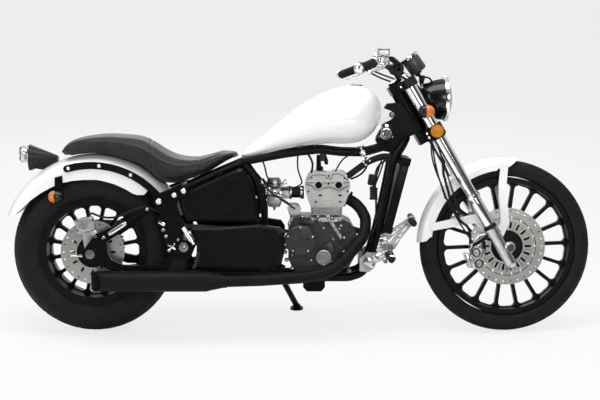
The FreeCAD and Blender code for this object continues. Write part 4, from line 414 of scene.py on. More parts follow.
# %% [markdown]
# ## Tools for making pieces
# Every piece below is drawn in an empty bmesh, upright and in millimetres. A few short helpers wrap Blender's
# own operators: a rod from create_cone, a turned shape from spin, a flat plate from one face and an extrude.
# `keep` then moves the mesh into the room, shades it, gives it a finish and hangs it on its body.

# %% Shapes
def fresh(count):
    """That many empty meshes to draw in."""
    return [bmesh.new() for _ in range(count)]


def pitch(degrees):
    """A turn about the side axis."""
    return Matrix.Rotation(math.radians(degrees), 3, "Y")


def aim(at, way):
    """A matrix whose Z axis points along `way` from `at`."""
    return Matrix.Translation(Vector(at)) @ Vector(way).to_track_quat("Z", "Y").to_matrix().to_4x4()


def rod(mesh, at, way, radius, length, sides=24, tip=None, soft=0.0):
    """A round bar or cone that starts at `at` and runs along `way`, with softened rims."""
    way = Vector(way).normalized()
    made = bmesh.ops.create_cone(mesh, cap_ends=True, segments=sides, radius1=radius,
                                 radius2=radius if tip is None else tip, depth=length,
                                 matrix=aim(Vector(at) + way * length / 2, way))["verts"]
    if soft:
        rims = [e for e in {e for v in made for e in v.link_edges}
                if abs((e.verts[0].co - e.verts[1].co).normalized().dot(way)) < 0.5]
        bmesh.ops.bevel(mesh, geom=rims, offset=soft, segments=2, profile=0.5, affect="EDGES", material=-1)
    return made


def block(mesh, centre, size, turn=None, soft=0.0, steps=2):
    """A box with softened edges."""
    spot = Matrix.Translation(Vector(centre)) @ (turn.to_4x4() if turn else Matrix.Identity(4))
    made = bmesh.ops.create_cube(mesh, size=1.0, matrix=spot @ Matrix.Diagonal((*size, 1)))["verts"]
    if soft:
        edges = list({e for v in made for e in v.link_edges})
        bmesh.ops.bevel(mesh, geom=edges, offset=soft, segments=steps, profile=0.5, affect="EDGES", material=-1)
    return made


def turned(mesh, profile, at, way, sides=32):
    """A profile of (radius, height) rows spun round the line through `at` along `way`."""
    spot = aim(at, way)
    ring = [mesh.verts.new(spot @ Vector((r, 0, h))) for r, h in profile]
    edges = [mesh.edges.new(pair) for pair in zip(ring, ring[1:])]
    spun = bmesh.ops.spin(mesh, geom=ring + edges, cent=spot.to_translation(),
                          axis=spot.to_3x3() @ Vector((0, 0, 1)), dvec=(0, 0, 0), angle=math.tau, steps=sides,
                          use_merge=True, use_duplicate=False)
    new = [v for v in mesh.verts if v.is_valid]
    bmesh.ops.remove_doubles(mesh, verts=new, dist=0.001)
    return spun


def plate(mesh, outline, y0, y1, soft=0.0, steps=2):
    """A flat plate: an outline of (x, z) points, thickened from y0 to y1."""
    face = mesh.faces.new([mesh.verts.new((x, y0, z)) for x, z in outline])
    out = bmesh.ops.extrude_face_region(mesh, geom=[face])["geom"]
    top = [g for g in out if isinstance(g, bmesh.types.BMVert)]
    bmesh.ops.translate(mesh, vec=(0, y1 - y0, 0), verts=top)
    if soft:
        rims = [e for v in top for e in v.link_edges if all(w in top for w in e.verts)]
        bmesh.ops.bevel(mesh, geom=list(set(rims)), offset=soft, segments=steps, profile=0.5, affect="EDGES",
                        material=-1)
    return top


def trace(mesh, points, y, width, tall, soft=0.0):
    """A narrow ridge that follows a line of (x, z) points on a side face at y."""
    for (x0, z0), (x1, z1) in zip(points, points[1:]):
        run, turn = math.hypot(x1 - x0, z1 - z0), -math.atan2(z1 - z0, x1 - x0)
        block(mesh, ((x0 + x1) / 2, y, (z0 + z1) / 2), (run + width * 0.7, tall, width),
              Matrix.Rotation(turn, 3, "Y"), soft)


def hex_bolt(mesh, at, way, across=8.0, tall=5.0):
    """A flanged hexagon head."""
    way = Vector(way).normalized()
    rod(mesh, at, way, across * 0.75, 1.5, 20)
    rod(mesh, Vector(at) + way * 1.5, way, across * 0.58, tall - 1.5, 6, across * 0.52)


def cap_bolt(mesh, at, way, radius=5.0, tall=4.0):
    """A round socket head with a round pit in its top."""
    way, at = Vector(way).normalized(), Vector(at)
    turned(mesh, [(0, tall * 0.45), (radius * 0.45, tall * 0.45), (radius * 0.5, tall), (radius * 0.85, tall),
                  (radius, tall * 0.8), (radius, 0)], at, way, 14)


def dome(mesh, at, way, radius, tall, sides=20):
    """A round-topped button."""
    turned(mesh, [(0, tall), (radius * 0.5, tall * 0.9), (radius * 0.85, tall * 0.5), (radius, 0)], at, way, sides)


# %% Placing a finished mesh
def keep(mesh, name, body, slot, place=None, finish=None, sharp=35, thick=None, bevel=None, smooth=0,
         replaces=(), recalc=True):
    """Move a drawn mesh into the room as a piece of the machine."""
    if recalc:
        bmesh.ops.recalc_face_normals(mesh, faces=mesh.faces)
    bmesh.ops.transform(mesh, matrix=CHASSIS if place is None else place, verts=mesh.verts)
    data = bpy.data.meshes.new(name)
    mesh.to_mesh(data)
    mesh.free()
    return settle(data, name, body, slot, finish, sharp, thick, bevel, smooth, replaces)


def settle(data, name, body, slot, finish=None, sharp=35, thick=None, bevel=None, smooth=0, replaces=()):
    piece = bpy.data.objects.new(name, data)
    bpy.context.scene.collection.objects.link(piece)
    data.materials.clear()
    data.materials.append(FINISH[finish or slot])
    data.shade_smooth()
    data.set_sharp_from_angle(angle=math.radians(sharp))
    if thick:
        wall = piece.modifiers.new("wall", "SOLIDIFY")
        wall.thickness, wall.offset = thick / 1000, -1
    if bevel:
        edge = piece.modifiers.new("edge", "BEVEL")
        edge.width, edge.segments, edge.limit_method = bevel / 1000, 2, "ANGLE"
        edge.angle_limit = math.radians(40)
    if smooth:
        sub = piece.modifiers.new("smooth", "SUBSURF")
        sub.levels = sub.render_levels = smooth
    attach(piece, body)
    if replaces:
        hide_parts(*replaces)
    return piece


def hose(name, points, radius, body, slot, place=None, finish=None, sides=4):
    """A bent hose, cable or rod: a smooth NURBS line through the room with a round section."""
    line = bpy.data.curves.new(name + "_line", "CURVE")
    line.dimensions, line.bevel_depth, line.bevel_resolution, line.use_fill_caps = "3D", radius / 1000, sides, True
    spline = line.splines.new("NURBS")
    spline.points.add(len(points) - 1)
    spot = CHASSIS if place is None else place
    for knot, p in zip(spline.points, points):
        knot.co = (*(spot @ Vector(p)), 1)
    spline.order_u, spline.use_endpoint_u, spline.resolution_u = 3, True, 8
    maker = bpy.data.objects.new(name + "_maker", line)
    data = bpy.data.meshes.new_from_object(maker)
    data.name = name
    bpy.data.objects.remove(maker)
    return settle(data, name, body, slot, finish, 60)


SIDES = ((-1, "right"), (1, "left"))

# %% [markdown]
# ## Rear end
# The fender strut is a flat curved bar with dome nuts. The swingarm carries bright adjusters, an axle nut and
# a short chrome damper. They are small, but they are what the eye lands on round the rear wheel. Everything
# bright goes in one mesh and everything black in another, because each piece wears one finish.

# %% Bolts and fittings round the rear wheel
bright, black = fresh(2)
for sign, side in SIDES:
    out = Vector((0, sign, 0))
    for degrees in (104.8, 84.5, 63):
        t = math.radians(degrees)
        spot = Vector((REAR.x + 342 * math.cos(t), sign * 121.4, REAR.z + 342 * math.sin(t)))
        rod(bright, spot, out, 8.5, 1.6, 24)
        dome(bright, spot + out * 1.6, out, 7, 6)
    for x, z, r in ((-546, 530, 12), (-486, 555, 10.5), (-450, 571, 11)):
        spot = Vector((x, sign * 178.1, z))
        rod(bright, spot, out, r + 1, 1.8, 28)
        dome(bright, spot + out * 1.8, out, r - 1, 6)
    pivot = Vector((-451, sign * 182.1, 352))
    turned(bright, [(0, 4), (6, 4), (8, 6), (12, 6), (13, 3), (18, 3), (20, 0)], pivot, out, 32)
    hex_bolt(bright, pivot + out * 4, out, 8, 6)
    # Chain adjuster: a pointed guide, a threaded rod and two nuts behind the axle.
    tip = Vector((-846, sign * 163, 318))
    rod(bright, tip, (-1, 0, -0.06), 7, 26, 20, 2.5)
    rod(bright, tip + Vector((-22, 0, -1)), (-1, 0, -0.06), 3.4, 22, 14)
    hex_bolt(bright, tip + Vector((-30, 0, -2)), (-1, 0, -0.06), 7, 6)
    hex_bolt(bright, (-795, sign * 161.2, 392), out, 8, 5)
    rod(black, (-815, sign * 161.4, 324), out, 30, 3, 40, soft=1)
    # Short damper over the upper arm: bright body, black rod, two eyes.
    low, high = Vector((-741, sign * 171, 402)), Vector((-672, sign * 171, 447))
    way = (high - low).normalized()
    turned(bright, [(0, 0), (8, 0), (9.5, 2), (9.5, 10), (11, 12), (11, 70), (9.5, 72), (9.5, 78), (6, 82), (0, 82)],
           low, way, 28)
    rod(black, high, way, 6.5, 96, 18)
    rod(black, low - way * 22, way, 6.5, 24, 18)
    for end in (low - way * 24, high + way * 96):
        rod(black, end - out * 9, out, 11, 14, 24, soft=1)
        cap_bolt(bright, end + out * 5.2, out, 6, 4)
    rod(black, (-758, sign * 168, 279), (1, 0, -0.34), 5, 104, 14)
    rod(black, (-660, sign * 168, 245.5), (1, 0, -0.06), 5, 168, 14)
    rod(black, (-770, sign * 161.5, 283), out, 8, 10, 20)
keep(bright, "rear_bright_fittings", "chassis", "chrome")
keep(black, "rear_black_fittings", "chassis", "black_paint")

# %% Link plate ahead of the rear wheel, right side
link, pins = fresh(2)
plate(link, [(-556, 470), (-540, 478), (-516, 430), (-500, 380), (-492, 330), (-510, 326), (-522, 376),
             (-538, 424)], -176, -172.2, 1)
for x, z, r in ((-530, 419, 6), (-519, 394, 6), (-508, 340, 6), (-472, 381, 5)):
    rod(pins, (x, -176.2, z), (0, -1, 0), r + 1.5, 1.4, 18)
    cap_bolt(pins, (x, -177.6, z), (0, -1, 0), r, 4)
block(pins, (-535, -180, 446), (28, 7, 12), pitch(30), 2)
for turn in (35, -48):
    block(pins, (-497, -180, 354), (36, 4, 7), pitch(turn), 1)
keep(link, "link_plate", "chassis", "black_paint")
keep(pins, "link_pins", "chassis", "chrome")

# %% [markdown]
# The rear brake is a floating caliper: a finned body over the disc, three bolt heads, a bleed
# nipple and a hose that runs forward along the arm.

# %% Rear brake caliper
caliper = bmesh.new()
lean_back = pitch(-14)
rc = REAR + Vector((-26, -94.8, 104))
block(caliper, rc + Vector((0, -12, 3)), (76, 24, 54), lean_back, 5, 3)
block(caliper, rc + Vector((0, 11, 3)), (60, 14, 46), lean_back, 4)
block(caliper, rc + Vector((-4, 0, 29)), (46, 30, 8), lean_back, 3)
plate(caliper, [(REAR.x + 26, REAR.z - 22), (REAR.x - 26, REAR.z - 22), (REAR.x - 30, REAR.z + 20),
                (REAR.x - 36, REAR.z + 66), (REAR.x - 52, REAR.z + 84), (REAR.x - 40, REAR.z + 112),
                (REAR.x + 6, REAR.z + 112), (REAR.x + 26, REAR.z + 70), (REAR.x + 24, REAR.z + 20)],
      -106.8, -114.6, 1.5)
turned(caliper, [(0, 9), (12, 9), (14, 6), (17, 6), (18, 0)], rc + Vector((-8, -24, 4)), (0, -1, 0), 32)
for k in range(4):
    block(caliper, rc + Vector((26, -25, -14 + 10 * k)), (20, 3, 4), lean_back, 1)
keep(caliper, "rear_caliper_casting", "chassis", "cast_aluminium", replaces=("rear_caliper",))
pins = bmesh.new()
for dx, dz in ((-32, 22), (30, 24), (-30, -18)):
    cap_bolt(pins, rc + Vector((dx, -24.5, dz)), (0, -1, 0), 6, 6)
rod(pins, rc + Vector((-30, -14, 30)), (-0.3, 0, 1), 3.5, 12, 12, 2)
keep(pins, "rear_caliper_pins", "chassis", "chrome")
hose("rear_brake_hose", [rc + Vector((10, -14, 32)), rc + Vector((20, -22, 56)), (-790, -128, 470), (-740, -150, 462),
                         (-690, -165, 474), (-620, -165, 510), (-560, -158, 500), (-520, -150, 470)], 4.2,
     "chassis", "black_rubber")

# %% [markdown]
# ## Tail lamp and rear indicators
# A lens only looks like glass when something is behind it: here a chrome bowl with a bulb. The lens itself is
# spun from a stepped profile, so its ribs are real and catch light from every side.

# %% Tail lamp
lamp = Vector((-1072.4, 0, 704))
lens = bmesh.new()
turned(lens, [(0, 41), (16, 40.6), (27, 38.6), (32, 34)] +
       [(35 - (1.5 if k % 2 else 0), 31.5 - k * 2.6) for k in range(11)] + [(35.6, 3.5), (35.6, 0.5), (31, 0.5),
                                                                           (30, 30), (23, 35), (0, 37)],
       lamp, (-1, 0, 0), 48)
keep(lens, "tail_lens_ribbed", "chassis", "clear_glass", replaces=("tail_lamp_lens",))
bowl = bmesh.new()
turned(bowl, [(0, 3), (14, 3.5), (24, 8), (29, 18), (29.4, 18), (24.6, 6), (14, 1.4), (0, 0.8)], lamp, (-1, 0, 0),
       40)
turned(bowl, [(35.8, 0.2), (38.4, 0.2), (39, 2), (38, 4.6), (36, 4.6)], lamp, (-1, 0, 0), 48)
keep(bowl, "tail_lamp_bowl", "chassis", "chrome")
bulb = bmesh.new()
turned(bulb, [(0, 22), (5, 20.5), (7, 16), (5, 8), (4, 3.6)], lamp, (-1, 0, 0), 20)
keep(bulb, "tail_lamp_bulb", "chassis", "clear_glass", finish="red_glass")

# %% Rear indicators
cup, glass, bar, pad = fresh(4)
for sign, side in SIDES:
    at = Vector((-949, sign * 138, 545))
    turned(cup, [(0, -30), (8, -29), (14, -26), (21, -17), (25.4, -2), (25.8, 4), (24.2, 4), (22, 1), (0, 1)], at,
           (-1, 0, 0), 36)
    turned(glass, [(0, 4.2), (24, 4.2), (24.4, 6), (21.5, 18), (15, 25.5), (7, 29), (0, 30)], at, (-1, 0, 0), 36)
    rod(bar, (-946, sign * 113.4, 548), (0, sign, 0), 6.5, 8, 20)
    turned(bar, [(6.4, 0), (8.5, 1), (8.5, 4), (6.4, 5)], (-946, sign * 113.6, 548), (0, sign, 0), 20)
    plate(pad, [(-958, 618), (-928, 626), (-926, 598), (-933, 540), (-954, 540), (-958, 590)], sign * 110.4,
          sign * 113.2, 0.8)
keep(cup, "rear_indicator_cups", "chassis", "gloss_black", replaces=("rear_indicators",))
keep(glass, "rear_indicator_glasses", "chassis", "amber_glass", finish="amber_moulded")
keep(bar, "rear_indicator_stalks", "chassis", "black_plastic")
keep(pad, "rear_indicator_brackets", "chassis", "black_paint")

# %% [markdown]
# ## Seat
# The seat is foam under stitched leather, so it is inflated with the cloth solver. It starts a little smaller
# than the drawn pad, swells for twenty frames and is then held close to the drawn size.

# %% Inflate the pad
START_INSET = 0.0025
SWELL_FRAMES = 20
HOLD = 0.003
SEAM_DEPTH_MM = 2.6

pad_source = nodes["seat"]
pad_data = pad_source.data.copy()
for vertex in pad_data.vertices:
    vertex.co = pad_source.matrix_world @ vertex.co
rest_tree = BVHTree.FromPolygons([v.co.copy() for v in pad_data.vertices],
                                 [tuple(p.vertices) for p in pad_data.polygons])
pad = bpy.data.objects.new("seat_padded", pad_data)
bpy.context.collection.objects.link(pad)
bpy.context.view_layer.objects.active = pad
pad.select_set(True)


def settle_modifier(kind, **settings):
    """Add a modifier, set it up and bake it into the pad's mesh."""
    modifier = pad.modifiers.new(kind.lower(), kind)
    for key, value in settings.items():
        setattr(modifier, key, value)
    bpy.ops.object.modifier_apply(modifier=modifier.name)


settle_modifier("REMESH", mode="VOXEL", voxel_size=0.006)
for vertex in pad.data.vertices:
    spot, normal, _, _ = rest_tree.find_nearest(vertex.co)
    if spot is not None:
        vertex.co = vertex.co - normal * START_INSET
print("pad", len(pad.data.vertices), "vertices")

# %% Let the leather swell
cloth = pad.modifiers.new("swell", "CLOTH")
cloth.settings.quality = 4
cloth.settings.mass = 0.3
cloth.settings.use_pressure = True
cloth.settings.uniform_pressure_force = 4
cloth.settings.effector_weights.gravity = 0
cloth.settings.tension_stiffness = 25
cloth.settings.bending_stiffness = 6
cloth.point_cache.frame_start, cloth.point_cache.frame_end = 1, SWELL_FRAMES
for tick in range(1, SWELL_FRAMES + 1):
    bpy.context.scene.frame_set(tick)
bpy.ops.object.modifier_apply(modifier=cloth.name)
bpy.context.scene.frame_set(1)
low = Vector((min(v.co[k] for v in pad.data.vertices) for k in range(3)))
high = Vector((max(v.co[k] for v in pad.data.vertices) for k in range(3)))
print("swollen", [round(x, 4) for x in low], [round(x, 4) for x in high])

# %% Hold the swelling and close the seams
# Every point is held within 3 mm of the drawn pad. Two cross seams part the saddle from the rear pad.
to_upright = CHASSIS.inverted()
seams = ((-588, 4.5), (-402, 4.0))
for vertex in pad.data.vertices:
    spot, normal, _, _ = rest_tree.find_nearest(vertex.co)
    vertex.co = spot + normal * max(-HOLD, min(HOLD, (vertex.co - spot).dot(normal)))
settle_modifier("SUBSURF", levels=1, render_levels=1)
for vertex in pad.data.vertices:
    local = to_upright @ vertex.co
    press = sum(SEAM_DEPTH_MM * math.exp(-((local.x - x - 12 * (local.y / 140) ** 2) / w) ** 2) for x, w in seams)
    if press > 0.05:
        spot, normal, _, _ = rest_tree.find_nearest(vertex.co)
        vertex.co = vertex.co - normal * press / 1000
for polygon in pad.data.polygons:
    polygon.use_smooth = True
pad.data.materials.clear()
pad.data.materials.append(FINISH["seat_leather"])
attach(pad, "chassis")
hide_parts("seat")

# %% Welt along the edge of the top panel
pad_tree = BVHTree.FromPolygons([v.co.copy() for v in pad.data.vertices],
                                [tuple(p.vertices) for p in pad.data.polygons])
for sign, side in SIDES:
    run = []
    for x in range(-920, -262, 22):
        across = Vector((0, -sign, 0))
        column = []
        for height in range(600, 790, 4):
            start, way = CHASSIS @ Vector((x, sign * 240, height)), CHASSIS.to_3x3() @ across
            hit, _, _, _ = pad_tree.ray_cast(start, way.normalized(), 0.5)
            if hit is not None:
                column.append(to_upright @ hit)
        if len(column) > 4:
            top = max(p.z for p in column)
            low = min(p.z for p in column)
            spot = min(column, key=lambda p: abs(p.z - (low + 0.66 * (top - low))))
            run.append(spot + Vector((0, sign * 0.6, 0)))
    hose("seat_welt_" + side, run, 2.3, "chassis", "seat_leather", sides=3)

# %% [markdown]
# ## Tyres
# A tyre is one cross-section spun round the axle. The section is measured on the drawn tyre, so it seats on the
# rim. Slanted grooves are pressed into the tread after the spin, mirrored and staggered from side to side.

# %% Spin the tyres and press in the tread
GROOVE_DEPTH = 0.0042
RIM_RIB, RIM_RIB_DEPTH = 2.4, 0.0009
SECTION_STEP = 3.9


def tyre(name, node, joint, body, radius, width, pitches, steps):
    """Spin one tyre from the drawn tyre's own section and press in its tread."""
    centre, axle = joints[joint]["pos_m"], joints[joint]["axis"]
    centre, axle = Vector(centre), Vector(axle).normalized()
    source = nodes[node]
    tree = BVHTree.FromPolygons([source.matrix_world @ v.co for v in source.data.vertices],
                                [tuple(p.vertices) for p in source.data.polygons])
    up = (Vector((0, 0, 1)) - axle * axle.z).normalized()
    ahead = axle.cross(up)
    core = radius - width * 0.42
    section = []
    for k in range(-31, 32):
        t = math.radians(k * SECTION_STEP)
        way = up * math.cos(t) + axle * math.sin(t)
        hit, _, _, _ = tree.ray_cast(centre + up * core / 1000 + way * 0.3, -way)
        if hit is not None and (hit - centre).dot(up) * 1000 > core - width * 0.45:
            section.append(hit)
    first, last = section[0], section[-1]
    for end in (last, first):
        inner = end - axle * (end - centre).dot(axle) * 0.12
        section.append(inner - up * 0.001)
    section.append(section[0])
    mesh = bmesh.new()
    verts = [mesh.verts.new(p) for p in section[:-1]]
    edges = [mesh.edges.new((verts[k], verts[(k + 1) % len(verts)])) for k in range(len(verts))]
    bmesh.ops.spin(mesh, geom=verts + edges, cent=centre, axis=axle, angle=2 * math.pi, steps=steps,
                   use_merge=True, use_duplicate=False)
    bmesh.ops.remove_doubles(mesh, verts=mesh.verts, dist=1e-5)
    half = width / 2
    for vert in mesh.verts:
        arm = vert.co - centre
        y = arm.dot(axle) * 1000
        flat = arm - axle * arm.dot(axle)
        r = flat.length * 1000
        if r < radius - width * 0.3:
            ring = abs(r - (radius - width * 0.44))
            if ring < RIM_RIB and abs(y) > half * 0.7:
                vert.co += axle * math.copysign(RIM_RIB_DEPTH * (1 - ring / RIM_RIB), -y)
            continue
        turn = math.atan2(flat.dot(ahead), flat.dot(up)) / (2 * math.pi) * pitches
        share = abs(y) / half
        phase = (turn + (0.5 if y > 0 else 0) + share * 0.85) % 1.0
        slot = max(0.0, 1 - abs(phase - 0.5) / 0.10) if 0.16 < share < 0.93 else 0.0
        short = (turn + (0.5 if y > 0 else 0) + share * 0.85 + 0.5) % 1.0
        if 0.52 < share < 0.9:
            slot = max(slot, 0.7 * max(0.0, 1 - abs(short - 0.5) / 0.09))
        band = max(0.0, 1 - abs(share - 0.10) / 0.035)
        depth = max(min(1.0, slot * 1.6) * min(1, (share - 0.14) * 9) * min(1, (0.95 - share) * 7),
                    min(1.0, band * 1.5))
        vert.co -= flat.normalized() * GROOVE_DEPTH * max(0.0, depth)
    bmesh.ops.recalc_face_normals(mesh, faces=mesh.faces)
    data = bpy.data.meshes.new(name)
    mesh.to_mesh(data)
    mesh.free()
    print(name, len(data.vertices), "vertices, section of", len(section))
    return settle(data, name, body, "tyre_rubber", sharp=50, replaces=(node,))


tyre("front_tyre_treaded", "front_tyre", "front_wheel_spin", "front_wheel", 340, 94, 56, 448)
tyre("rear_tyre_treaded", "rear_tyre", "rear_wheel_spin", "rear_wheel", 323, 200, 40, 400)

# %% [markdown]
# ## Engine
# The drawn engine gives the masses: head, barrel, crankcase and the covers. These pieces add what makes it read
# as an engine: cam cover lines and plugs, cooling fins with slanted ribs, fan ribs on the clutch cover, rings on
# the oil filter cover and a bolt at every boss, on both sides.

# %% Cylinder head, cam cover and barrel
head, lines, stay, plugs = fresh(4)
plate(head, [(41, 500), (27, 540), (19, 576), (21, 594), (196, 594), (198, 580), (192, 552), (177, 508), (170, 498),
             (48, 498)], -70, 70, 3)
plate(head, [(22, 595.5), (32, 622), (43, 635), (59, 640), (96, 638), (102, 634), (128, 634), (134, 639), (170, 638),
             (184, 626), (194, 604), (195, 595.5)], -71.5, 71.5, 6, 3)
block(head, (105, 0, 483), (104, 110, 36))
for k in range(4):
    block(head, (105, 0, 468 + 9 * k), (122 + k, 128, 4.4), None, 1.2)
for k in range(3):
    block(head, (108, 0, 506 + 11 * k), (134 + 9 * k, 142.5, 3.4), None, 1)
for sign, side in SIDES:
    out, y = Vector((0, sign, 0)), sign * 71
    for k in range(9):
        block(head, (58 + 11.8 * k, sign * 63.5, 486), (3.2, 5, 44), pitch(16 - 4 * k), 1)
    arches = [(25, 589), (45, 583), (55, 572), (73, 565), (91, 573), (112, 578), (133, 573), (152, 565), (170, 572),
              (190, 584)]
    brow = [(29, 606), (41, 621), (62, 626), (98, 625), (104, 611), (125, 611), (128, 628), (152, 630), (171, 621),
            (188, 604)]
    trace(lines, arches, y * 1.004, 2.6, 2.2)
    trace(lines, brow, y * 1.008, 2.4, 2.2)
    trace(lines, [(22, 594.8), (196, 594.8)], y, 2.6, 2.4)
    trace(head, [(26, 583), (46, 577), (57, 566), (73, 559), (90, 567), (112, 571), (134, 566), (152, 559), (169, 566),
                 (188, 577)], y, 5, 5, 1.5)
    for x in (73, 152):
        spot = Vector((x, sign * 70, 586))
        turned(head, [(0, 0), (20, 0), (19, 5), (15, 6), (0, 6)], spot, out, 40)
        turned(plugs, [(0, 6), (13.5, 6), (13.5, 8), (11, 9.5), (9, 8), (0, 8)], spot, out, 32)
        block(head, (x + 6, sign * 72.5, 548), (19, 5, 17), None, 2)
        block(lines, (x + 6, sign * 74, 546), (11, 4.2, 8), None, 1)
    for x, z, r in ((33, 561, 4), (187, 561, 4), (112, 592, 4.6), (45, 615, 3.6), (176, 614, 3.6), (112, 622, 4),
                    (62, 520, 4), (158, 520, 4)):
        turned(head, [(0, 0), (r + 3, 0), (r + 2.4, 5), (0, 5)], (x, y * 0.99, z), out, 20)
        cap_bolt(plugs, Vector((x, y * 0.99, z)) + out * 5, out, r, 2.6)
plate(stay, [(64, 640), (84, 640), (83, 700), (66, 700)], -14, 14, 1)
rod(stay, (84, -24, 648), (0, 1, 0), 8, 48, 20)
keep(head, "cylinder_head_casting", "chassis", "cast_aluminium", finish="engine_light", replaces=("cylinder_head",))
keep(lines, "head_joint_lines", "chassis", "black_paint")
keep(stay, "head_stay_black", "chassis", "black_paint")
keep(plugs, "head_plugs_and_bolts", "chassis", "black_paint")

# %% Bolted flange between barrel and case, and the starter's bright nose
flange, bolts = fresh(2)
plate(flange, [(42, 462), (170, 462), (166, 452), (140, 446), (60, 446), (44, 452)], -124, -90, 2)
trace(flange, [(108, 470), (124, 440), (142, 410), (160, 384)], -125, 13, 8, 2)
for k in range(5):
    spot = Vector((110 + 12.4 * k, -129, 462 - 19.6 * k))
    cap_bolt(bolts, spot, (0, -1, 0), 4.6, 4)
for x, z in ((50, 457), (76, 455), (150, 454), (164, 456)):
    cap_bolt(bolts, (x, -124, z), (0, -1, 0), 4.4, 4)
turned(flange, [(0, 0), (24.3, 0), (24.3, 4), (20, 9), (9, 10), (0, 10)], (-22, -60, 482), (0, -1, 0), 32)
plate(flange, [(-52, 498), (-8, 505), (6, 492), (-4, 470), (-40, 470)], -80, -66, 3)
rod(flange, (-30, -70, 500), (-0.4, -0.3, 1), 6, 20, 16, 3)
keep(flange, "barrel_flange", "chassis", "cast_aluminium", finish="engine_light")
keep(bolts, "barrel_flange_bolts", "chassis", "chrome")

# %% Crankcase covers on the right
covers, bolts, rings = fresh(3)
right = Vector((0, -1, 0))
fan = Vector((2, -182.2, 378))
turned(covers, [(0, 0), (58, 0), (58, 1.5), (55, 4), (40, 5), (24, 6.4), (12, 7), (0, 7)], fan, right, 56)
for k in range(5):
    turn = math.radians(90 + 72 * k)
    arm = Vector((math.cos(turn), 0, math.sin(turn)))
    block(covers, fan + right * 6 + arm * 31, (46, 5, 5), Matrix.Rotation(-turn, 3, "Y"), 2)
    spot = fan + arm * 50 + right * 3
    turned(covers, [(0, 0), (7, 0), (6, 4), (0, 4)], spot, right, 20)
    cap_bolt(bolts, spot + right * 4, right, 4.2, 3)
cup = Vector((92, -172.2, 311))
turned(rings, [(0, 0), (30, 0), (30, 3), (27, 5.5), (24, 5.5), (22.5, 3.4), (19, 3.4), (17.5, 5.5), (13, 5.5),
               (11.5, 3.6), (6, 3.6), (4.5, 6.5), (0, 6.5)], cup, right, 48)
for k in range(3):
    turn = math.radians(30 + 120 * k)
    cap_bolt(bolts, cup + Vector((math.cos(turn), 0, math.sin(turn))) * 26.5 + right * 5, right, 3.6, 3.5)
rim = [(-58, 330), (-62, 390), (-40, 440), (10, 466), (70, 468), (126, 462), (160, 432), (172, 386), (170, 330),
       (146, 276), (110, 250), (30, 246), (-30, 268), (-52, 300)]
for k, (x, z) in enumerate(rim):
    spot = Vector((x, -146.2, z))
    turned(covers, [(0, 0), (8.5, 0), (7.5, 6), (0, 6)], spot, right, 18)
    cap_bolt(bolts, spot + right * 6, right, 4.6, 3.6)
slash = [(70, 448), (118, 398), (148, 356), (160, 330)]
for (x0, z0), (x1, z1) in zip(slash, slash[1:]):
    run = math.hypot(x1 - x0, z1 - z0)
    turn = -math.atan2(z1 - z0, x1 - x0)
    block(covers, ((x0 + x1) / 2, -148.5, (z0 + z1) / 2), (run + 6, 7, 7), Matrix.Rotation(turn, 3, "Y"), 2)
for x, z in ((92, 424), (130, 380), (44, 300), (-30, 320), (120, 296), (60, 262)):
    spot = Vector((x, -148.2, z))
    turned(covers, [(0, 0), (7, 0), (6, 6), (0, 6)], spot, right, 18)
    cap_bolt(bolts, spot + right * 6, right, 4, 3.4)
block(covers, (110, -150, 340), (52, 12, 44), pitch(-28), 6, 3)
block(covers, (30, -150, 446), (60, 12, 20), None, 5)
block(covers, (148, -132, 286), (30, 30, 26), None, 5)
keep(covers, "right_cover_castings", "chassis", "engine_grey")
keep(bolts, "right_cover_bolts", "chassis", "chrome")
keep(rings, "oil_filter_rings", "chassis", "cast_aluminium", finish="filter_grey")

# %% Generator cover on the left
covers, bolts = fresh(2)
left = Vector((0, 1, 0))
hub = Vector((110, 150.4, 350))
turned(covers, [(0, 0), (53.6, 0), (53, 2), (48, 5), (34, 6), (32, 4.4), (20, 4.4), (18, 7), (8, 7.6), (0, 7.6)], hub,
       left, 56)
for k in range(6):
    turn = math.radians(60 * k + 20)
    spot = hub + Vector((math.cos(turn), 0, math.sin(turn))) * 44
    cap_bolt(bolts, spot + left * 4.4, left, 4.2, 3.4)
for x, z in ((28, 300), (10, 420), (196, 420), (60, 262), (60, 454), (-10, 454), (150, 454), (196, 290)):
    spot = Vector((x, 100.2, z))
    turned(covers, [(0, 0), (8.5, 0), (7.5, 8), (0, 8)], spot, left, 18)
    cap_bolt(bolts, spot + left * 8, left, 4.4, 3.6)
block(covers, (-16, 103, 420), (50, 8, 60), None, 6, 3)
turned(covers, [(0, 0), (24, 0), (24, 8), (20, 11), (0, 11)], (20, 100.2, 290), left, 40)
keep(covers, "left_cover_castings", "chassis", "engine_grey")
keep(bolts, "left_cover_bolts", "chassis", "chrome")

# %% [markdown]
# ## Between the engine and the frame
# The carburettor, the fuel tap, the coolant hose and the wiring fill the gap under the tank. Hoses are smooth
# lines held at both ends by what they feed.

# %% Carburettor
body, boots, brass, steel = fresh(4)
back = Vector((-1, 0, 0))
turned(boots, [(0, 0), (25, 0), (27, 4), (24, 8), (24, 14), (27, 18), (24, 22), (24, 30), (28, 34), (28, 44), (0, 44)],
       (-132, 0, 553), back, 40)
turned(boots, [(0, 0), (24, 0), (26, 3), (22, 8), (22, 44), (26, 48), (26, 60), (0, 60)], (-44, 0, 552), (1, 0, 0), 40)
turned(boots, [(0, 0), (27, 0), (27, 60), (0, 60)], (-136, 0, 560), back, 40)
block(boots, (-250, 0, 560), (110, 130, 110), None, 10, 3)
turned(body, [(0, 0), (27, 0), (27, 5), (24, 7), (24, 80), (27, 82), (27, 88), (0, 88)], (-44, 0, 553), back, 44)
turned(body, [(0, 0), (17, 0), (17, 3), (14, 3), (14, 7), (17, 7), (17, 10), (0, 10)], (-56, -34, 545), (0, -1, 0), 36)
for k in range(3):
    block(body, (-56, -46, 545), (26, 2.6, 4), pitch(60 * k), 0.8)
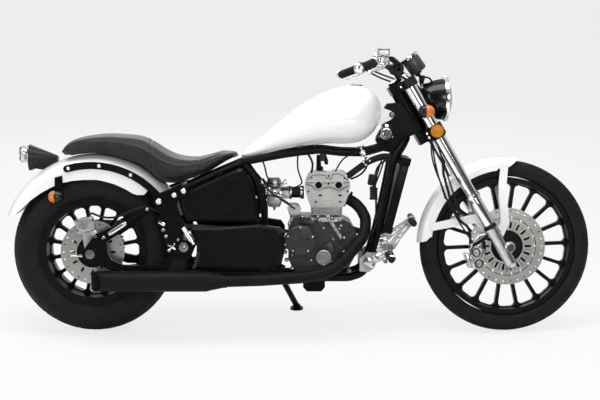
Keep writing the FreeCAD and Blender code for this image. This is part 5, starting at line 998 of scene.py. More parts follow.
block(body, (-66, -34, 590), (30, 10, 14), pitch(-20), 3)
rod(body, (-80, -36, 574), (0.6, 0, 0.8), 3.4, 40, 14)
block(body, (-124, -32, 560), (14, 12, 30), None, 3)
block(body, (-102, 0, 520), (58, 56, 34), None, 7, 3)
block(body, (-102, 0, 505), (50, 48, 22), None, 8, 3)
turned(body, [(0, 0), (29, 0), (30, 4), (30, 12), (27, 26), (20, 34), (0, 36)], (-103, 0, 577), (0, 0, 1), 44)
turned(boots, [(0, 0), (30.6, 0), (30.6, 3), (0, 3)], (-103, 0, 586), (0, 0, 1), 44)
for sign, side in SIDES:
    for x, z in ((-126, 535), (-78, 535), (-126, 511), (-78, 511)):
        cap_bolt(steel, (x, sign * 28.2, z), (0, sign, 0), 3.4, 4)
    turned(body, [(0, 0), (13, 0), (13, 7), (10, 9), (0, 9)], (-102, sign * 24, 553), (0, sign, 0), 32)
    cap_bolt(steel, (-102, sign * 33.2, 553), (0, sign, 0), 6, 3.4)
turned(brass, [(0, 0), (5, 0), (5, 12), (3, 14), (3, 24), (0, 24)], (-132, -22, 575), (-0.6, -0.7, 0.3), 20)
turned(brass, [(0, 0), (6, 0), (6, 8), (4, 9), (4, 15), (0, 15)], (-102, 0, 495), (0, 0, -1), 20)
rod(steel, (-74, -29, 541), (0, -1, 0), 4, 10, 14)
block(steel, (-80, -38, 548), (20, 2.4, 16), pitch(20), 1)
for x in (-176, -138, -40, 2):
    turned(steel, [(27.6, 0), (28.8, 0), (28.8, 7), (27.6, 7)], (x, 0, 553), (1, 0, 0), 40)
    block(steel, (x + 3.5, -30, 553), (8, 6, 10), None, 1)
keep(body, "carburettor_casting", "chassis", "cast_aluminium", replaces=("carburettor",))
keep(boots, "carburettor_boots", "chassis", "black_rubber")
keep(brass, "carburettor_jets", "chassis", "cast_aluminium", finish="brass")
keep(steel, "carburettor_screws", "chassis", "chrome")

# %% Fuel tap and its hose
tap, knob = fresh(2)
turned(tap, [(0, 0), (13, 0), (13, 5), (8, 8), (8, 22), (12, 24), (12, 36), (8, 38), (8, 44), (0, 44)],
       (240, -46, 739), (0.1, -0.1, -1), 28)
rod(tap, (240, -50, 704), (0.7, -0.5, -0.4), 4, 26, 16, 2)
rod(tap, (246, -62, 716), (0, -1, 0), 9, 12, 24, soft=1)
block(knob, (246, -77, 712), (26, 6, 10), pitch(24), 2)
keep(tap, "fuel_tap", "chassis", "cast_aluminium")
keep(knob, "fuel_tap_lever", "chassis", "chrome")
hose("fuel_hose", [(256, -62, 694), (266, -66, 680), (262, -64, 656), (248, -56, 634), (226, -36, 616),
                   (202, -18, 606)],
     4, "chassis", "black_rubber")

# %% Coolant pipes
joints_c = bmesh.new()
hose("coolant_hose_upper", [(176, -52, 612), (196, -66, 626), (226, -74, 650), (262, -76, 676), (296, -74, 690),
                            (330, -70, 700), (368, -64, 694), (396, -60, 680)], 13, "chassis", "black_rubber", sides=6)
hose("coolant_hose_lower", [(352, -60, 420), (330, -66, 404), (296, -72, 396), (240, -78, 402), (200, -84, 416),
                            (168, -92, 420), (146, -110, 412)], 12, "chassis", "black_rubber", sides=6)
hose("coolant_overflow", [(386, -82, 690), (352, -96, 694), (300, -92, 664), (292, -90, 600), (300, -92, 520),
                          (298, -92, 440)], 4.2, "chassis", "black_rubber")
for spot, way in (((182, -56, 617), (0.75, -0.35, 0.55)), ((380, -62, 690), (0.9, 0.1, -0.4)),
                  ((344, -62, 413), (-0.8, -0.2, -0.5)), ((154, -104, 415), (-0.7, -0.6, -0.1))):
    turned(joints_c, [(13.4, -4), (14.8, -4), (14.8, 4), (13.4, 4)], spot, way, 32)
    rod(joints_c, Vector(spot) + Vector((0, -15, 0)), (0, -0.2, 1), 3, 8, 12)
turned(joints_c, [(0, 0), (15, 0), (15, 6), (12, 8), (12, 20), (15, 22), (15, 28), (0, 28)], (252, -74, 668),
       (0.7, 0, 0.6), 28)
keep(joints_c, "hose_clamps", "chassis", "chrome")

# %% Wiring and small boxes under the tank
boxes, plugs = fresh(2)
block(boxes, (286, -40, 604), (34, 30, 44), pitch(10), 4)
block(boxes, (288, -58, 566), (24, 10, 30), None, 3)
turned(boxes, [(0, 0), (17, 0), (17, 4), (15, 6), (15, 40), (17, 42), (17, 46), (0, 46)],
       (290, -62, 528), (0, 0, 1), 28)
block(boxes, (88, -60, 694), (20, 10, 30), None, 3)
rod(plugs, (104, -36, 668), (0, -0.6, 1), 8, 20, 18, 6, soft=1)
rod(plugs, (104, 36, 668), (0, 0.6, 1), 8, 20, 18, 6, soft=1)
keep(boxes, "engine_bay_boxes", "chassis", "black_plastic")
keep(plugs, "spark_caps", "chassis", "black_rubber")
for k, run in enumerate((
        [(104, -48, 686), (100, -58, 704), (86, -64, 716), (60, -66, 712)],
        [(140, -60, 640), (156, -72, 676), (190, -72, 706), (230, -68, 714)],
        [(-8, -58, 704), (-12, -66, 660), (0, -70, 620), (12, -66, 590), (-30, -52, 570), (-76, -36, 564)],
        [(28, -60, 712), (44, -68, 690), (52, -70, 660), (44, -74, 634)],
        [(-150, -66, 690), (-138, -70, 660), (-132, -56, 622), (-118, -38, 596), (-106, -28, 584)],
        [(-176, -78, 640), (-140, -84, 600), (-120, -84, 560), (-60, -90, 520), (-20, -110, 496)],
        [(-196, -70, 590), (-186, -90, 540), (-176, -100, 486), (-160, -112, 440)],
        [(250, -68, 706), (300, -70, 716), (340, -60, 728), (372, -44, 740)],
        [(292, -66, 574), (300, -80, 600), (316, -86, 640), (330, -84, 690)],
        [(104, 48, 686), (100, 58, 704), (86, 64, 716), (60, 66, 712)],
        [(-30, 110, 486), (-80, 100, 520), (-120, 90, 560), (-150, 86, 600)],
        [(292, 60, 560), (306, 80, 600), (320, 84, 650), (336, 76, 700)])):
    hose("bay_cable_%02d" % k, run, 3.2 if k % 3 else 4.2, "chassis", "black_rubber")

# %% [markdown]
# ## Headlamp and clock
# The lamp is a clear ribbed lens over a mirror bowl and a bulb. The clock face has plain graduations and
# numbers: they belong to the instrument and name nobody.

# %% Headlamp
shell, rim, bowl, glass = fresh(4)
LAMP = Vector((549, 0, 922))
fwd = Vector((1, 0, 0))
turned(shell, [(0, -88), (20, -86), (42, -76), (62, -56), (76, -28), (83, 4), (85, 22), (82, 22), (79, 4), (70, -28),
               (50, -60), (0, -80)], LAMP, fwd, 64)
turned(rim, [(84, 16), (89.5, 17), (91.5, 22), (91.5, 30), (88, 34), (83, 34), (83, 30), (86, 26), (84, 20)],
       LAMP, fwd, 64)
turned(bowl, [(0, -54), (20, -50), (44, -34), (64, -8), (76, 22), (79, 22), (66, -12), (46, -38), (20, -56), (0, -60)],
       LAMP, fwd, 64)
turned(bowl, [(0, -30), (13, -30), (15, -24), (15, -14), (10, -10), (0, -10)], LAMP, fwd, 32)
turned(glass, [(0, 50), (28, 48.6), (52, 44.6), (70, 38.6), (82.6, 31), (82.6, 27), (69, 34.6), (52, 40.6), (28, 44.6),
               (0, 46)], LAMP, fwd, 64)
for k in range(-7, 8):
    z = k * 10.0
    span = math.sqrt(max(0, 78 ** 2 - z ** 2))
    block(glass, LAMP + Vector((44.4 - (z / 78) ** 2 * 13, 0, z)), (2.4, span * 1.5, 1.6), None, 0.5)
keep(shell, "headlamp_bucket", "steering", "gloss_black", place=BARS, replaces=("headlamp_shell",))
keep(rim, "headlamp_rim", "steering", "chrome", place=BARS)
keep(bowl, "headlamp_reflector", "steering", "chrome", place=BARS)
keep(glass, "headlamp_glass", "steering", "clear_glass", place=BARS, replaces=("headlamp_lens",))
ear, bolts = fresh(2)
for sign, side in SIDES:
    block(ear, LAMP + Vector((-62, sign * 46, -52)), (40, 10, 24), pitch(-30), 3)
    hex_bolt(bolts, LAMP + Vector((-62, sign * 51, -52)), (0, sign, 0), 7, 5)
block(ear, LAMP + Vector((-66, 0, -62)), (34, 84, 12), pitch(-30), 3)
rod(ear, LAMP + Vector((-60, 0, -60)), (-0.72, 0, -0.69), 12, 44, 24)
keep(ear, "headlamp_cradle", "steering", "black_paint", place=BARS)
keep(bolts, "headlamp_bolts", "steering", "chrome", place=BARS)

# %% Clock
can, ring, dial, marks, hand, cover = fresh(6)
CLOCK, UP = Vector((450, 0, 1060)), Vector((-0.589, 0, 0.808))
turned(can, [(0, -38), (28, -38), (33, -35), (35, -30), (35.6, 26), (34, 30), (0, 30)], CLOCK, UP, 56)
turned(ring, [(35.7, 24), (38.6, 25.5), (39, 30), (39, 35), (37, 37), (33, 37), (33, 34), (35.7, 30)], CLOCK, UP, 56)
turned(dial, [(0, 30.4), (33, 30.4), (33, 31), (0, 31)], CLOCK, UP, 48)
spot = aim(CLOCK, UP)
for k in range(25):
    turn = math.radians(-135 + 11.25 * k)
    long = 6 if k % 3 == 0 else 3.2
    block(marks, spot @ Vector((math.sin(turn) * (29 - long / 2), math.cos(turn) * (29 - long / 2), 31.3)),
          (1.1 if k % 3 == 0 else 0.6, long, 0.5),
          spot.to_3x3() @ Matrix.Rotation(-turn, 3, "Z"))
for text, turn, size in (("0", -135, 5), ("20", -101, 4.6), ("40", -67, 4.6), ("60", -34, 4.6), ("80", 0, 4.6),
                         ("100", 34, 4.2), ("120", 67, 4.2), ("140", 101, 4.2), ("160", 135, 4.2), ("km/h", 180, 4)):
    letters = bpy.data.curves.new("dial_text", "FONT")
    letters.body, letters.size, letters.extrude, letters.align_x, letters.align_y = text, size, 0.2, "CENTER", "CENTER"
    maker = bpy.data.objects.new("dial_text", letters)
    flat = bpy.data.meshes.new_from_object(maker)
    t, far = math.radians(turn), 19.5 if text != "km/h" else 12
    flat.transform(spot @ Matrix.Translation((math.sin(t) * far, math.cos(t) * far, 31.2)))
    marks.from_mesh(flat)
    bpy.data.objects.remove(maker)
block(hand, spot @ Vector((-8.5, -8.5, 32.6)), (1.8, 26, 0.8),
      spot.to_3x3() @ Matrix.Rotation(math.radians(135), 3, "Z"))
turned(hand, [(0, 31.4), (4.4, 31.4), (3.6, 34), (0, 34)], CLOCK, UP, 24)
turned(cover, [(0, 36.4), (20, 36), (33, 34.8), (33, 33.8), (20, 35), (0, 35.4)], CLOCK, UP, 48)
keep(can, "clock_can", "steering", "satin_black", place=BARS, finish="can_grey", replaces=("speedometer",))
keep(ring, "clock_ring", "steering", "chrome", place=BARS)
keep(dial, "clock_dial", "steering", "gloss_black", place=BARS)
keep(marks, "clock_marks", "steering", "white_paint", place=BARS)
keep(hand, "clock_hand", "steering", "amber_glass", place=BARS, finish="amber_moulded")
keep(cover, "clock_glass", "steering", "clear_glass", place=BARS)
foot = bmesh.new()
rod(foot, CLOCK + UP * -38, -UP, 9, 6, 24)
block(foot, (466, 0, 1018), (44, 30, 6), pitch(36), 2)
block(foot, (484, 0, 998), (16, 24, 34), pitch(14), 3)
for y in (-34, -17, 17, 34):
    rod(foot, (468, y, 1012), (-0.3, 0, 1), 6.5, 8, 20, soft=1)
keep(foot, "clock_foot", "steering", "black_paint", place=BARS)

# %% [markdown]
# ## Handlebar controls
# Grips, switch boxes, levers and the fluid cup follow the bar's last straight run, so they are placed along it.

# %% Grips and switch boxes
BAR = Vector((380, 0, 1041))


def bar_run(sign):
    """Start, direction and length of the bar's last straight run."""
    start = BAR + Vector((-98, sign * 224, 20))
    end = BAR + Vector((-183, sign * 345, -12))
    return start, (end - start).normalized(), (end - start).length


rubber, bright, switches, knobs = fresh(4)
for sign, side in SIDES:
    start, way, length = bar_run(sign)
    at = start + way * length * 0.30
    rows = [(0, 0), (19, 0), (19, 3), (17, 4)]
    for k in range(14):
        rows += [(17.2, 6 + k * 6.4), (17.2, 9 + k * 6.4), (16.2, 9.6 + k * 6.4), (16.2, 11.8 + k * 6.4)]
    rows += [(17, length * 0.7 - 2), (0, length * 0.7 - 2)]
    turned(rubber, rows, at, way, 40)
    turned(bright, [(0, 0), (17.5, 0), (18, 2), (18, 12), (14, 16), (10, 17.6), (0, 18)],
           start + way * (length + 0.4), way, 40)
    turned(switches, [(0, 0), (21, 0), (23, 2), (23, 20), (21, 22), (0, 22)], at - way * 24, way, 40)
    block(switches, at - way * 13 + Vector((-14, 0, -6)), (20, 20, 26), None, 4)
    rod(knobs, at - way * 13 + Vector((-24, 0, 2)), (-1, 0, 0.2), 5, 6, 16, soft=1)
    rod(knobs, at - way * 13 + Vector((-24, 0, -12)), (-1, 0, 0.2), 4, 6, 16, soft=1)
    block(knobs, at - way * 8 + Vector((0, 0, 22)), (12, 12, 6), None, 2)
keep(rubber, "grips_ribbed", "steering", "black_rubber", place=BARS, replaces=("grips",))
keep(bright, "bar_end_weights", "steering", "chrome", place=BARS)
keep(switches, "switch_boxes", "steering", "chrome", place=BARS)
keep(knobs, "switch_buttons", "steering", "black_plastic", place=BARS)

# %% Clutch and brake perches and the fluid cup
clamp, screws, cup, lid = fresh(4)
for sign, side in SIDES:
    start, way, length = bar_run(sign)
    at = start + way * length * 0.14
    out = Vector((0.86, sign * 0.10, -0.12))
    out = (out - way * out.dot(way)).normalized()
    block(clamp, at + way * 8 + out * 20, (30, 20, 20), None, 4)
    hex_bolt(screws, at + way * 8 + out * 40 + Vector((0, 0, 10)), (0, 0, 1), 6, 4)
    for z in (-1, 1):
        cap_bolt(screws, at + way * 8 + out * 12 + Vector((0, 0, 14 * z)), out, 4, 5)
    turned(clamp, [(0, 0), (8, 0), (8, 8), (6, 10), (6, 22), (0, 22)], at + way * 2 + out * 38, (way * -1), 24)
start, way, length = bar_run(-1)
tank_at = start + way * length * 0.14 + way * 8 + Vector((34, 4, 36.5))
block(cup, tank_at, (44, 40, 26), None, 6, 3)
block(lid, tank_at + Vector((0, 0, 15)), (47, 43, 5), None, 2)
block(cup, tank_at + Vector((-2, -2, -18)), (22, 22, 14), None, 4)
turned(lid, [(0, 0), (7, 0), (7, 2), (0, 2)], tank_at + Vector((-20, -20.4, -2)) + Vector((20, 0, 0)), (0, -1, 0), 24)
turned(clamp, [(0, 0), (11, 0), (12, 3), (12, 44), (9, 48), (9, 56), (6, 58), (0, 58)],
       tank_at + Vector((-4, -8, -30)) - way * 30, way, 32)
block(clamp, tank_at + Vector((-22, 12, -22)), (26, 30, 24), None, 5)
block(clamp, tank_at + Vector((-34, -12, -34)), (30, 34, 22), pitch(-20), 6)
turned(clamp, [(0, 0), (7, 0), (7, 4), (4, 5), (4, 12), (7, 13), (7, 17), (0, 17)],
       tank_at + Vector((16, 20, -26)), (0.4, 0.8, -0.2), 20)
rod(clamp, tank_at + Vector((-30, 8, -6)), (-0.5, 0, 1), 4, 22, 16, 2)
rod(clamp, tank_at + Vector((-40, -4, 12)), (-0.5, 0.2, 1), 6, 7, 20, 2)
for dx, dy, dz in ((-30, -30, -30), (-44, -30, -38), (-14, -26, -30), (-4, -24, -22)):
    cap_bolt(screws, tank_at + Vector((dx, dy, dz)), (0, -1, 0), 3.4, 3)
for x in (-17, 17):
    for y in (-15, 15):
        cap_bolt(screws, tank_at + Vector((x, y, 16.6)), (0, 0, 1), 3, 1.5)
keep(clamp, "lever_clamps", "steering", "chrome", place=BARS)
keep(screws, "lever_screws", "steering", "dark_steel", place=BARS)
keep(cup, "fluid_cup", "steering", "cast_aluminium", place=BARS, replaces=("brake_reservoir",))
keep(lid, "fluid_cup_lid", "steering", "cast_aluminium", place=BARS, finish="engine_light")

# %% Bar clamps
caps, bolts = fresh(2)
for sign, side in SIDES:
    turned(caps, [(0, 0), (22.6, 0), (24, 2), (24, 30), (22.6, 32), (0, 32)],
           BAR + Vector((0, sign * 42 - 16, 0)), (0, 1, 0), 40)
    for y in (-9, 9):
        cap_bolt(bolts, BAR + Vector((8, sign * 42 + y, 22)), (0.25, 0, 1), 4.4, 5)
        cap_bolt(bolts, BAR + Vector((-14, sign * 42 + y, 19)), (-0.45, 0, 1), 4.4, 5)
keep(caps, "bar_clamp_caps", "steering", "black_paint", place=BARS)
keep(bolts, "bar_clamp_bolts", "steering", "chrome", place=BARS)

# %% Cables from the levers to the steering head
for k, run in enumerate((
        [(300, -244, 1050), (330, -200, 1040), (372, -150, 1010), (410, -100, 990), (440, -78, 960), (458, -72, 900),
         (478, -66, 850), (498, -58, 800)],
        [(296, -250, 1044), (340, -190, 1020), (400, -120, 1000), (450, -84, 980), (478, -66, 940), (490, -58, 880),
         (500, -52, 820), (520, -46, 760)],
        [(300, 244, 1050), (340, 190, 1026), (392, 130, 1004), (432, 90, 984), (452, 66, 940), (456, 52, 890),
         (462, 46, 840), (480, 42, 790)],
        [(292, 250, 1042), (330, 196, 1014), (388, 140, 990), (440, 96, 974), (474, 70, 930), (484, 58, 870),
         (496, 50, 800)],
        [(466, 0, 1020), (486, 10, 990), (500, 20, 950), (512, 24, 900), (520, 24, 850), (528, 30, 800)],
        [(490, -20, 880), (506, -10, 900), (500, 6, 930), (484, 14, 960), (474, 8, 1000)],
        [(470, -30, 1000), (500, -44, 1012), (520, -40, 985), (522, -20, 950), (508, -10, 930)])):
    hose("bar_cable_%d" % k, run, 3.6, "steering", "black_rubber", BARS)

# %% [markdown]
# ## Fork, indicators and front brake
# Seals, caps and sliders are placed along the legs. The rest is placed upright and turns with the bars.

# %% Front indicators and side reflectors
cups, ambers, stalks, rims, discs = fresh(5)
fork_to_bars = BARS.inverted() @ FORK
for sign, side in SIDES:
    at = fork_to_bars @ Vector((-28, sign * 161, 630))
    turned(cups, [(0, -30), (9, -29), (17, -26), (23, -18), (25.6, -10), (26.2, -2), (24.8, -2), (22, -5), (0, -5)],
           at, fwd, 44)
    turned(ambers, [(0, -1.8), (25, -1.8), (25.8, 1), (25, 11), (21.6, 21), (15.6, 28), (8, 31.4), (0, 32)],
           at, fwd, 44)
    rod(stalks, at - Vector((0, sign * 22, 0)), (0, -sign, 0), 8, 18, 24)
    turned(stalks, [(8, 0), (10.5, 1), (10.5, 4), (8, 5)], at - Vector((0, sign * 26, 0)), (0, -sign, 0), 24)
    clasp = fork_to_bars @ Vector((-25, sign * 95, 616))
    turned(stalks, [(25.4, 0), (28.4, 0), (28.4, 26), (25.4, 26)], clasp, (-0.5, 0, 0.866), 44)
    turned(discs, [(0, 2.4), (25.4, 2.4), (25.4, 7), (23, 8.4), (0, 9)],
           fork_to_bars @ Vector((-25, sign * 127.3, 541)), (0, sign, 0), 48)
    turned(rims, [(0, 0), (27, 0), (27.4, 2), (27.4, 8), (25.8, 8), (25.8, 2.4), (0, 2.4)],
           fork_to_bars @ Vector((-25, sign * 127.3, 541)), (0, sign, 0), 48)
keep(cups, "indicator_cups", "steering", "gloss_black", place=BARS, replaces=("front_indicators",))
keep(ambers, "indicator_ambers", "steering", "amber_glass", place=BARS, finish="amber_moulded",
     replaces=("front_indicator_lenses",))
keep(stalks, "indicator_stalks", "steering", "black_paint", place=BARS)
keep(rims, "reflector_rims", "steering", "black_plastic", place=BARS)
keep(discs, "reflector_discs", "steering", "amber_glass", place=BARS, finish="amber_reflector",
     replaces=("fork_reflectors",))

# %% Clamp bolts, seals and caps on the fork
bolts, seals = fresh(2)
up = Vector((0, 0, 1))
for sign, side in SIDES:
    leg = Vector((-25, sign * 95, 0))
    for z in (549, 531):
        cap_bolt(bolts, leg + Vector((-33, sign * 6, z)), (-1, 0, 0), 6, 6)
    cap_bolt(bolts, leg + Vector((-31, sign * 6, 757)), (-1, 0, 0), 6, 6)
    turned(bolts, [(0, 0), (17, 0), (17, 4), (15, 6), (10, 6), (10, 12), (8, 13), (0, 13)], leg + up * 784, up, 32)
    turned(seals, [(20.7, 0), (27, 0), (27, 5), (25, 7), (25, 12), (22.6, 16), (20.7, 16)], leg + up * 100.5, up, 40)
    turned(bolts, [(24.3, 0), (25.2, 0), (25.2, 3), (24.3, 3)], leg + up * 92, up, 40)
    turned(bolts, [(0, 0), (13, 0), (13, 4), (9, 6), (0, 6)], leg + Vector((0, 0, -62)), -up, 28)
    turned(seals, [(25.2, 0), (27.6, 0), (27.6, 6), (25.2, 6)], leg + up * 510, up, 40)
turned(bolts, [(0, 0), (20, 0), (20, 6), (16, 9), (16, 14), (0, 14)], (-65, 0, 776), up, 6)
keep(bolts, "fork_bolts_and_caps", "steering", "chrome", place=FORK)
keep(seals, "fork_seals", "steering", "black_rubber", place=FORK)

# %% Front brake caliper
casting, dark, pins = fresh(3)
side_way = Vector((0, -1, 0))


def web(mesh, points, width, y0, y1, soft=1.5):
    """Flat arm that follows a line of points seen from the side."""
    for a, b in zip(points, points[1:]):
        a, b = Vector((a[0], 0, a[1])), Vector((b[0], 0, b[1]))
        turn = (b - a).to_track_quat("X", "Y").to_matrix()
        block(mesh, (a + b) / 2 + Vector((0, (y0 + y1) / 2, 0)),
              ((b - a).length + width * 0.6, abs(y1 - y0), width), turn, soft)


spot = FRONT + Vector((-125, -58, -43))
tilt = pitch(19)
block(casting, spot + Vector((0, -22, 0)), (52, 18, 86), tilt, 7, 3)
block(casting, spot + Vector((0, 20, 0)), (50, 18, 80), tilt, 6, 2)
block(casting, FRONT + Vector((-157, -59, -54)), (18, 60, 60), pitch(-19), 5)
for dx, dz in ((-6, 22), (6, -22)):
    turned(casting, [(0, 0), (19, 0), (19, 6), (17, 9), (12, 9), (12, 7), (8, 7), (8, 8.6), (0, 9)],
           spot + Vector((dx, -30, dz)), side_way, 36)
    turned(dark, [(12.4, 0), (16.6, 0), (16.6, 1), (12.4, 1)], spot + Vector((dx, -38.6, dz)), side_way, 36)
web(dark, [(FRONT.x - 150, FRONT.z + 2), (FRONT.x - 118, FRONT.z + 16), (FRONT.x - 72, FRONT.z + 50)], 17, -67, -77)
web(dark, [(FRONT.x - 96, FRONT.z + 28), (FRONT.x - 92, FRONT.z - 20), (FRONT.x - 108, FRONT.z - 60)], 15, -67, -77)
web(casting, [(FRONT.x - 88, FRONT.z + 52), (FRONT.x - 116, FRONT.z + 44), (FRONT.x - 142, FRONT.z + 18),
              (FRONT.x - 150, FRONT.z - 8)], 9, -77, -84)
for dx, dz in ((-150, 4), (-74, 46), (-108, -62), (-96, 24)):
    hex_bolt(pins, FRONT + Vector((dx, -77, dz)), side_way, 6, 6)
for dx, dz in ((-22, 34), (24, -30), (-10, -40), (24, 20)):
    cap_bolt(pins, spot + tilt @ Vector((dx, -30, dz)), side_way, 4.4, 4)
rod(pins, spot + Vector((-22, -14, 36)), (-0.5, 0, 1), 3.4, 14, 14, 2)
keep(casting, "front_caliper_casting", "steering", "cast_aluminium", place=BARS, finish="polished",
     replaces=("front_caliper",))
keep(dark, "front_caliper_bracket", "steering", "black_paint", place=BARS)
keep(pins, "front_caliper_pins", "steering", "chrome", place=BARS)

# %% Fork sliders
slider, rings = fresh(2)
for sign, side in SIDES:
    leg = Vector((-25, sign * 95, 0))
    turned(slider, [(20.6, 118), (23.4, 118), (24, 121), (24, 238), (23.4, 241.6), (20.6, 241.6)], leg, up, 48)
    turned(rings, [(25.1, 244), (26.6, 244), (26.6, 250), (25.1, 250)], leg, up, 48)
    turned(rings, [(25.1, 256), (26.2, 256), (26.2, 259), (25.1, 259)], leg, up, 48)
keep(slider, "fork_slider_covers", "steering", "chrome", place=FORK)
keep(rings, "fork_slider_rings", "steering", "dark_steel", place=FORK)

# %% Black backing ring behind the front disc, black patches over its slots, and its buttons
black_backing, buttons = fresh(2)
# A thin black ring just behind the disc, so that its slots read dark against it.
turned(black_backing, [(58, 0), (109, 0), (109, 3), (58, 3)], FRONT + Vector((0, -46.5, 0)), side_way, 96)
for k in range(18):
    t = k * math.pi / 9
    cap_bolt(buttons, FRONT + Vector((112 * math.cos(t), -57.6, 112 * math.sin(t))), side_way, 4.6, 1.6)
turned(black_backing, [(113.5, 0), (116, 0), (116, 0.5), (113.5, 0.5)], FRONT + Vector((0, -57.5, 0)), side_way, 120)
turned(buttons, [(0, 0), (11, 0), (11, 2), (8, 4), (0, 4)], FRONT + Vector((0, -120, 0)), side_way, 6)
# Black patches on the disc face, one at each slot, painted so that the slots look wider and dark.
for k in range(18):
    t = (k + 0.5) * math.pi / 9
    way = Vector((math.cos(t), 0, math.sin(t)))
    block(black_backing, FRONT + way * 86 + Vector((0, -57.5, 0)), (30, 0.8, 10), way.to_track_quat("X", "Y").to_matrix(), 0)
keep(black_backing, "front_disc_black_backing", "front_wheel", "black_paint", place=BARS)
keep(buttons, "front_disc_buttons", "front_wheel", "chrome", place=BARS)

# %% Cables down the fork
for k, run in enumerate((
        [(494, -92, 880), (502, -100, 830), (506, -104, 770), (514, -106, 700), (526, -108, 640), (544, -112, 580),
         (560, -112, 530)],
        [(510, -86, 880), (512, -98, 820), (504, -108, 760), (504, -110, 700), (520, -114, 640), (546, -118, 580),
         (566, -118, 520), (596, -116, 470), (620, -110, 430), (648, -100, 390), (672, -92, 356)],
        [(520, -84, 870), (524, -92, 820), (526, -96, 760), (548, -104, 680), (572, -110, 610), (592, -114, 550),
         (604, -116, 500), (616, -112, 450)])):
    hose("fork_cable_%d" % k, run, 3.2, "steering", "black_rubber", BARS)

# %% Ignition lock, tank bolt and washer
lock, steel = fresh(2)
turned(lock, [(0, 0), (21, 0), (22, 1.5), (22, 5), (20, 6.5), (13, 6.5), (12, 8.5), (0, 8.5)],
       (338, -64, 786), side_way, 40)
block(lock, (338, -67, 812), (18, 5, 26), None, 2)
block(steel, (338, -73.2, 786), (3, 1.6, 12), None, 0.3)
for x in (312, 364):
    cap_bolt(lock, (x, -60, 776), side_way, 5, 5)
cap_bolt(steel, (362, -42, 861), side_way, 8, 3)
turned(lock, [(0, 0), (12, 0), (12, 1.4), (0, 1.4)], (362, -41.2, 861), side_way, 32)
keep(lock, "ignition_lock_plate", "chassis", "chrome")
keep(steel, "lock_and_tank_screws", "chassis", "dark_steel")

# %% [markdown]
# ## Forward foot controls
# Pegs, pedal and shift lever sit far forward; the castings carry ribs, collars and screws.

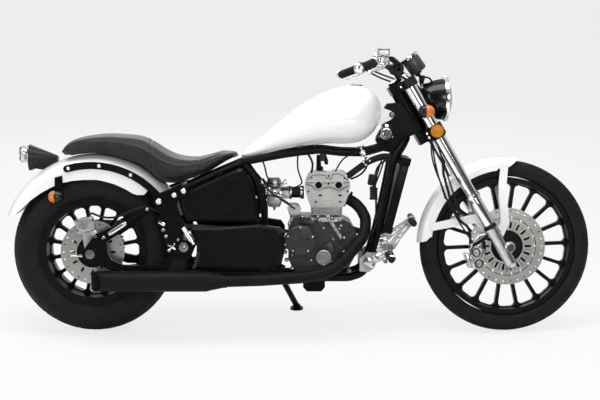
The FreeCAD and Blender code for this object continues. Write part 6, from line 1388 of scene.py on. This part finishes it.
# %% Pegs, rings and toe pieces
PEG = Vector((346, 0, 323))
ribs, rings, toes, studs, cast = fresh(5)
for sign, side in SIDES:
    out = Vector((0, sign, 0))
    rows = [(0, 0), (16, 0)]
    for k in range(16):
        rows += [(16.6, 1 + k * 9.2), (16.6, 6.4 + k * 9.2), (14.6, 7 + k * 9.2), (14.6, 9.4 + k * 9.2)]
    rows += [(15.4, 149), (0, 149)]
    turned(ribs, rows, PEG + Vector((0, sign * 180.4, 0)), out, 36)
    turned(rings, [(0, 0), (18.4, 0), (19, 1), (19, 5), (18, 6), (0, 6)], PEG + Vector((0, sign * 175, 0)), out, 36)
    turned(rings, [(13, 0), (16.8, 0), (16.8, 5), (13, 5.6)], PEG + Vector((0, sign * 324.2, 0)), out, 36)
    turned(ribs, [(0, 0), (12.9, 0), (12.9, 2), (9, 4), (0, 4)], PEG + Vector((0, sign * 325.8, 0)), out, 36)
    drop = math.radians(18.7 if sign > 0 else 0)

    def swing(x, z):
        return Vector((348 + (x - 348) * math.cos(drop) + (z - 353) * math.sin(drop), 0,
                       353 - (x - 348) * math.sin(drop) + (z - 353) * math.cos(drop)))

    toe = swing(431, 458)
    rows = [(9.2, 0), (13, 0)]
    for k in range(9):
        rows += [(13, 1 + k * 9.6), (13, 6.6 + k * 9.6), (11.4, 7.4 + k * 9.6), (11.4, 9.6 + k * 9.6)]
    rows += [(12.6, 90), (9.2, 90)]
    turned(toes, rows, toe + Vector((0, sign * 198, 0)), out, 32)
    turned(toes, [(0, 0), (12.4, 0), (12.4, 3), (9, 5), (0, 5)], toe + Vector((0, sign * 303.4, 0)), out, 28)
    turned(rings, [(9.1, 0), (14, 0), (14, 4), (9.1, 4)], toe + Vector((0, sign * 190, 0)), out, 28)
    hub = swing(348, 353)
    hex_bolt(studs, hub + Vector((0, sign * 192.4, 0)), out, 8, 6)
    turned(rings, [(0, 0), (13, 0), (13, 2), (0, 2)], hub + Vector((0, sign * 190.6, 0)), out, 28)
    for x, z in ((382, 392), (411, 440)):
        at = swing(x, z)
        cap_bolt(studs, at + Vector((0, sign * 186, 0)), out, 3.6, 2.4)
    block(cast, PEG + Vector((-4, sign * 160, 16)), (34, 30, 26), pitch(-12), 6)
    block(cast, PEG + Vector((-34, sign * 138, -8)), (40, 24, 26), pitch(22), 6)
    turned(cast, [(0, 0), (15, 0), (15, 12), (12, 14), (0, 14)], PEG + Vector((-46, sign * 146, -12)), out, 32)
    turned(cast, [(0, 0), (11, 0), (11, 10), (9, 12), (0, 12)], PEG + Vector((-14, sign * 172, -24)), out, 28)
    cap_bolt(studs, PEG + Vector((-46, sign * 160, -12)), out, 6, 5)
    cap_bolt(studs, PEG + Vector((-14, sign * 184, -24)), out, 5, 4)
    for dx, dz in ((-84, -24), (-60, -44)):
        hex_bolt(studs, PEG + Vector((dx, sign * 146, dz)), out, 7, 5)
    block(cast, PEG + Vector((-74, sign * 138, -34)), (44, 18, 34), pitch(30), 6)
    rod(studs, PEG + Vector((2, sign * 180, 28)), (0.35, 0, 1), 3.4, 28, 14, 2)
keep(ribs, "peg_rubbers_ribbed", "chassis", "black_rubber", replaces=("peg_rubbers",))
keep(rings, "peg_and_toe_rings", "chassis", "chrome")
keep(toes, "toe_rubbers", "chassis", "black_rubber")
keep(studs, "foot_control_screws", "chassis", "dark_steel")
keep(cast, "peg_castings", "chassis", "cast_aluminium", finish="polished")

# %% Radiator fins and tanks
fins, tanks = fresh(2)
lean = pitch(14.6)
centre = Vector((378, 0, 547))
for k in range(26):
    z = -104 + k * 8.3
    block(fins, centre + lean @ Vector((0, 0, z)), (36, 196, 1.6), lean, 0)
for sign in (-1, 1):
    block(tanks, centre + lean @ Vector((0, sign * 107, 0)), (34, 10, 244), lean, 3)
for z in (118, -118):
    block(tanks, centre + lean @ Vector((0, 0, z)), (35, 206, 14), lean, 3)
for z in (-90, 0, 90):
    cap_bolt(tanks, centre + lean @ Vector((0, -112.4, z)), (0, -1, 0), 6, 4)
keep(fins, "radiator_fins", "chassis", "black_paint", finish="dark_steel")
keep(tanks, "radiator_tanks", "chassis", "black_paint")
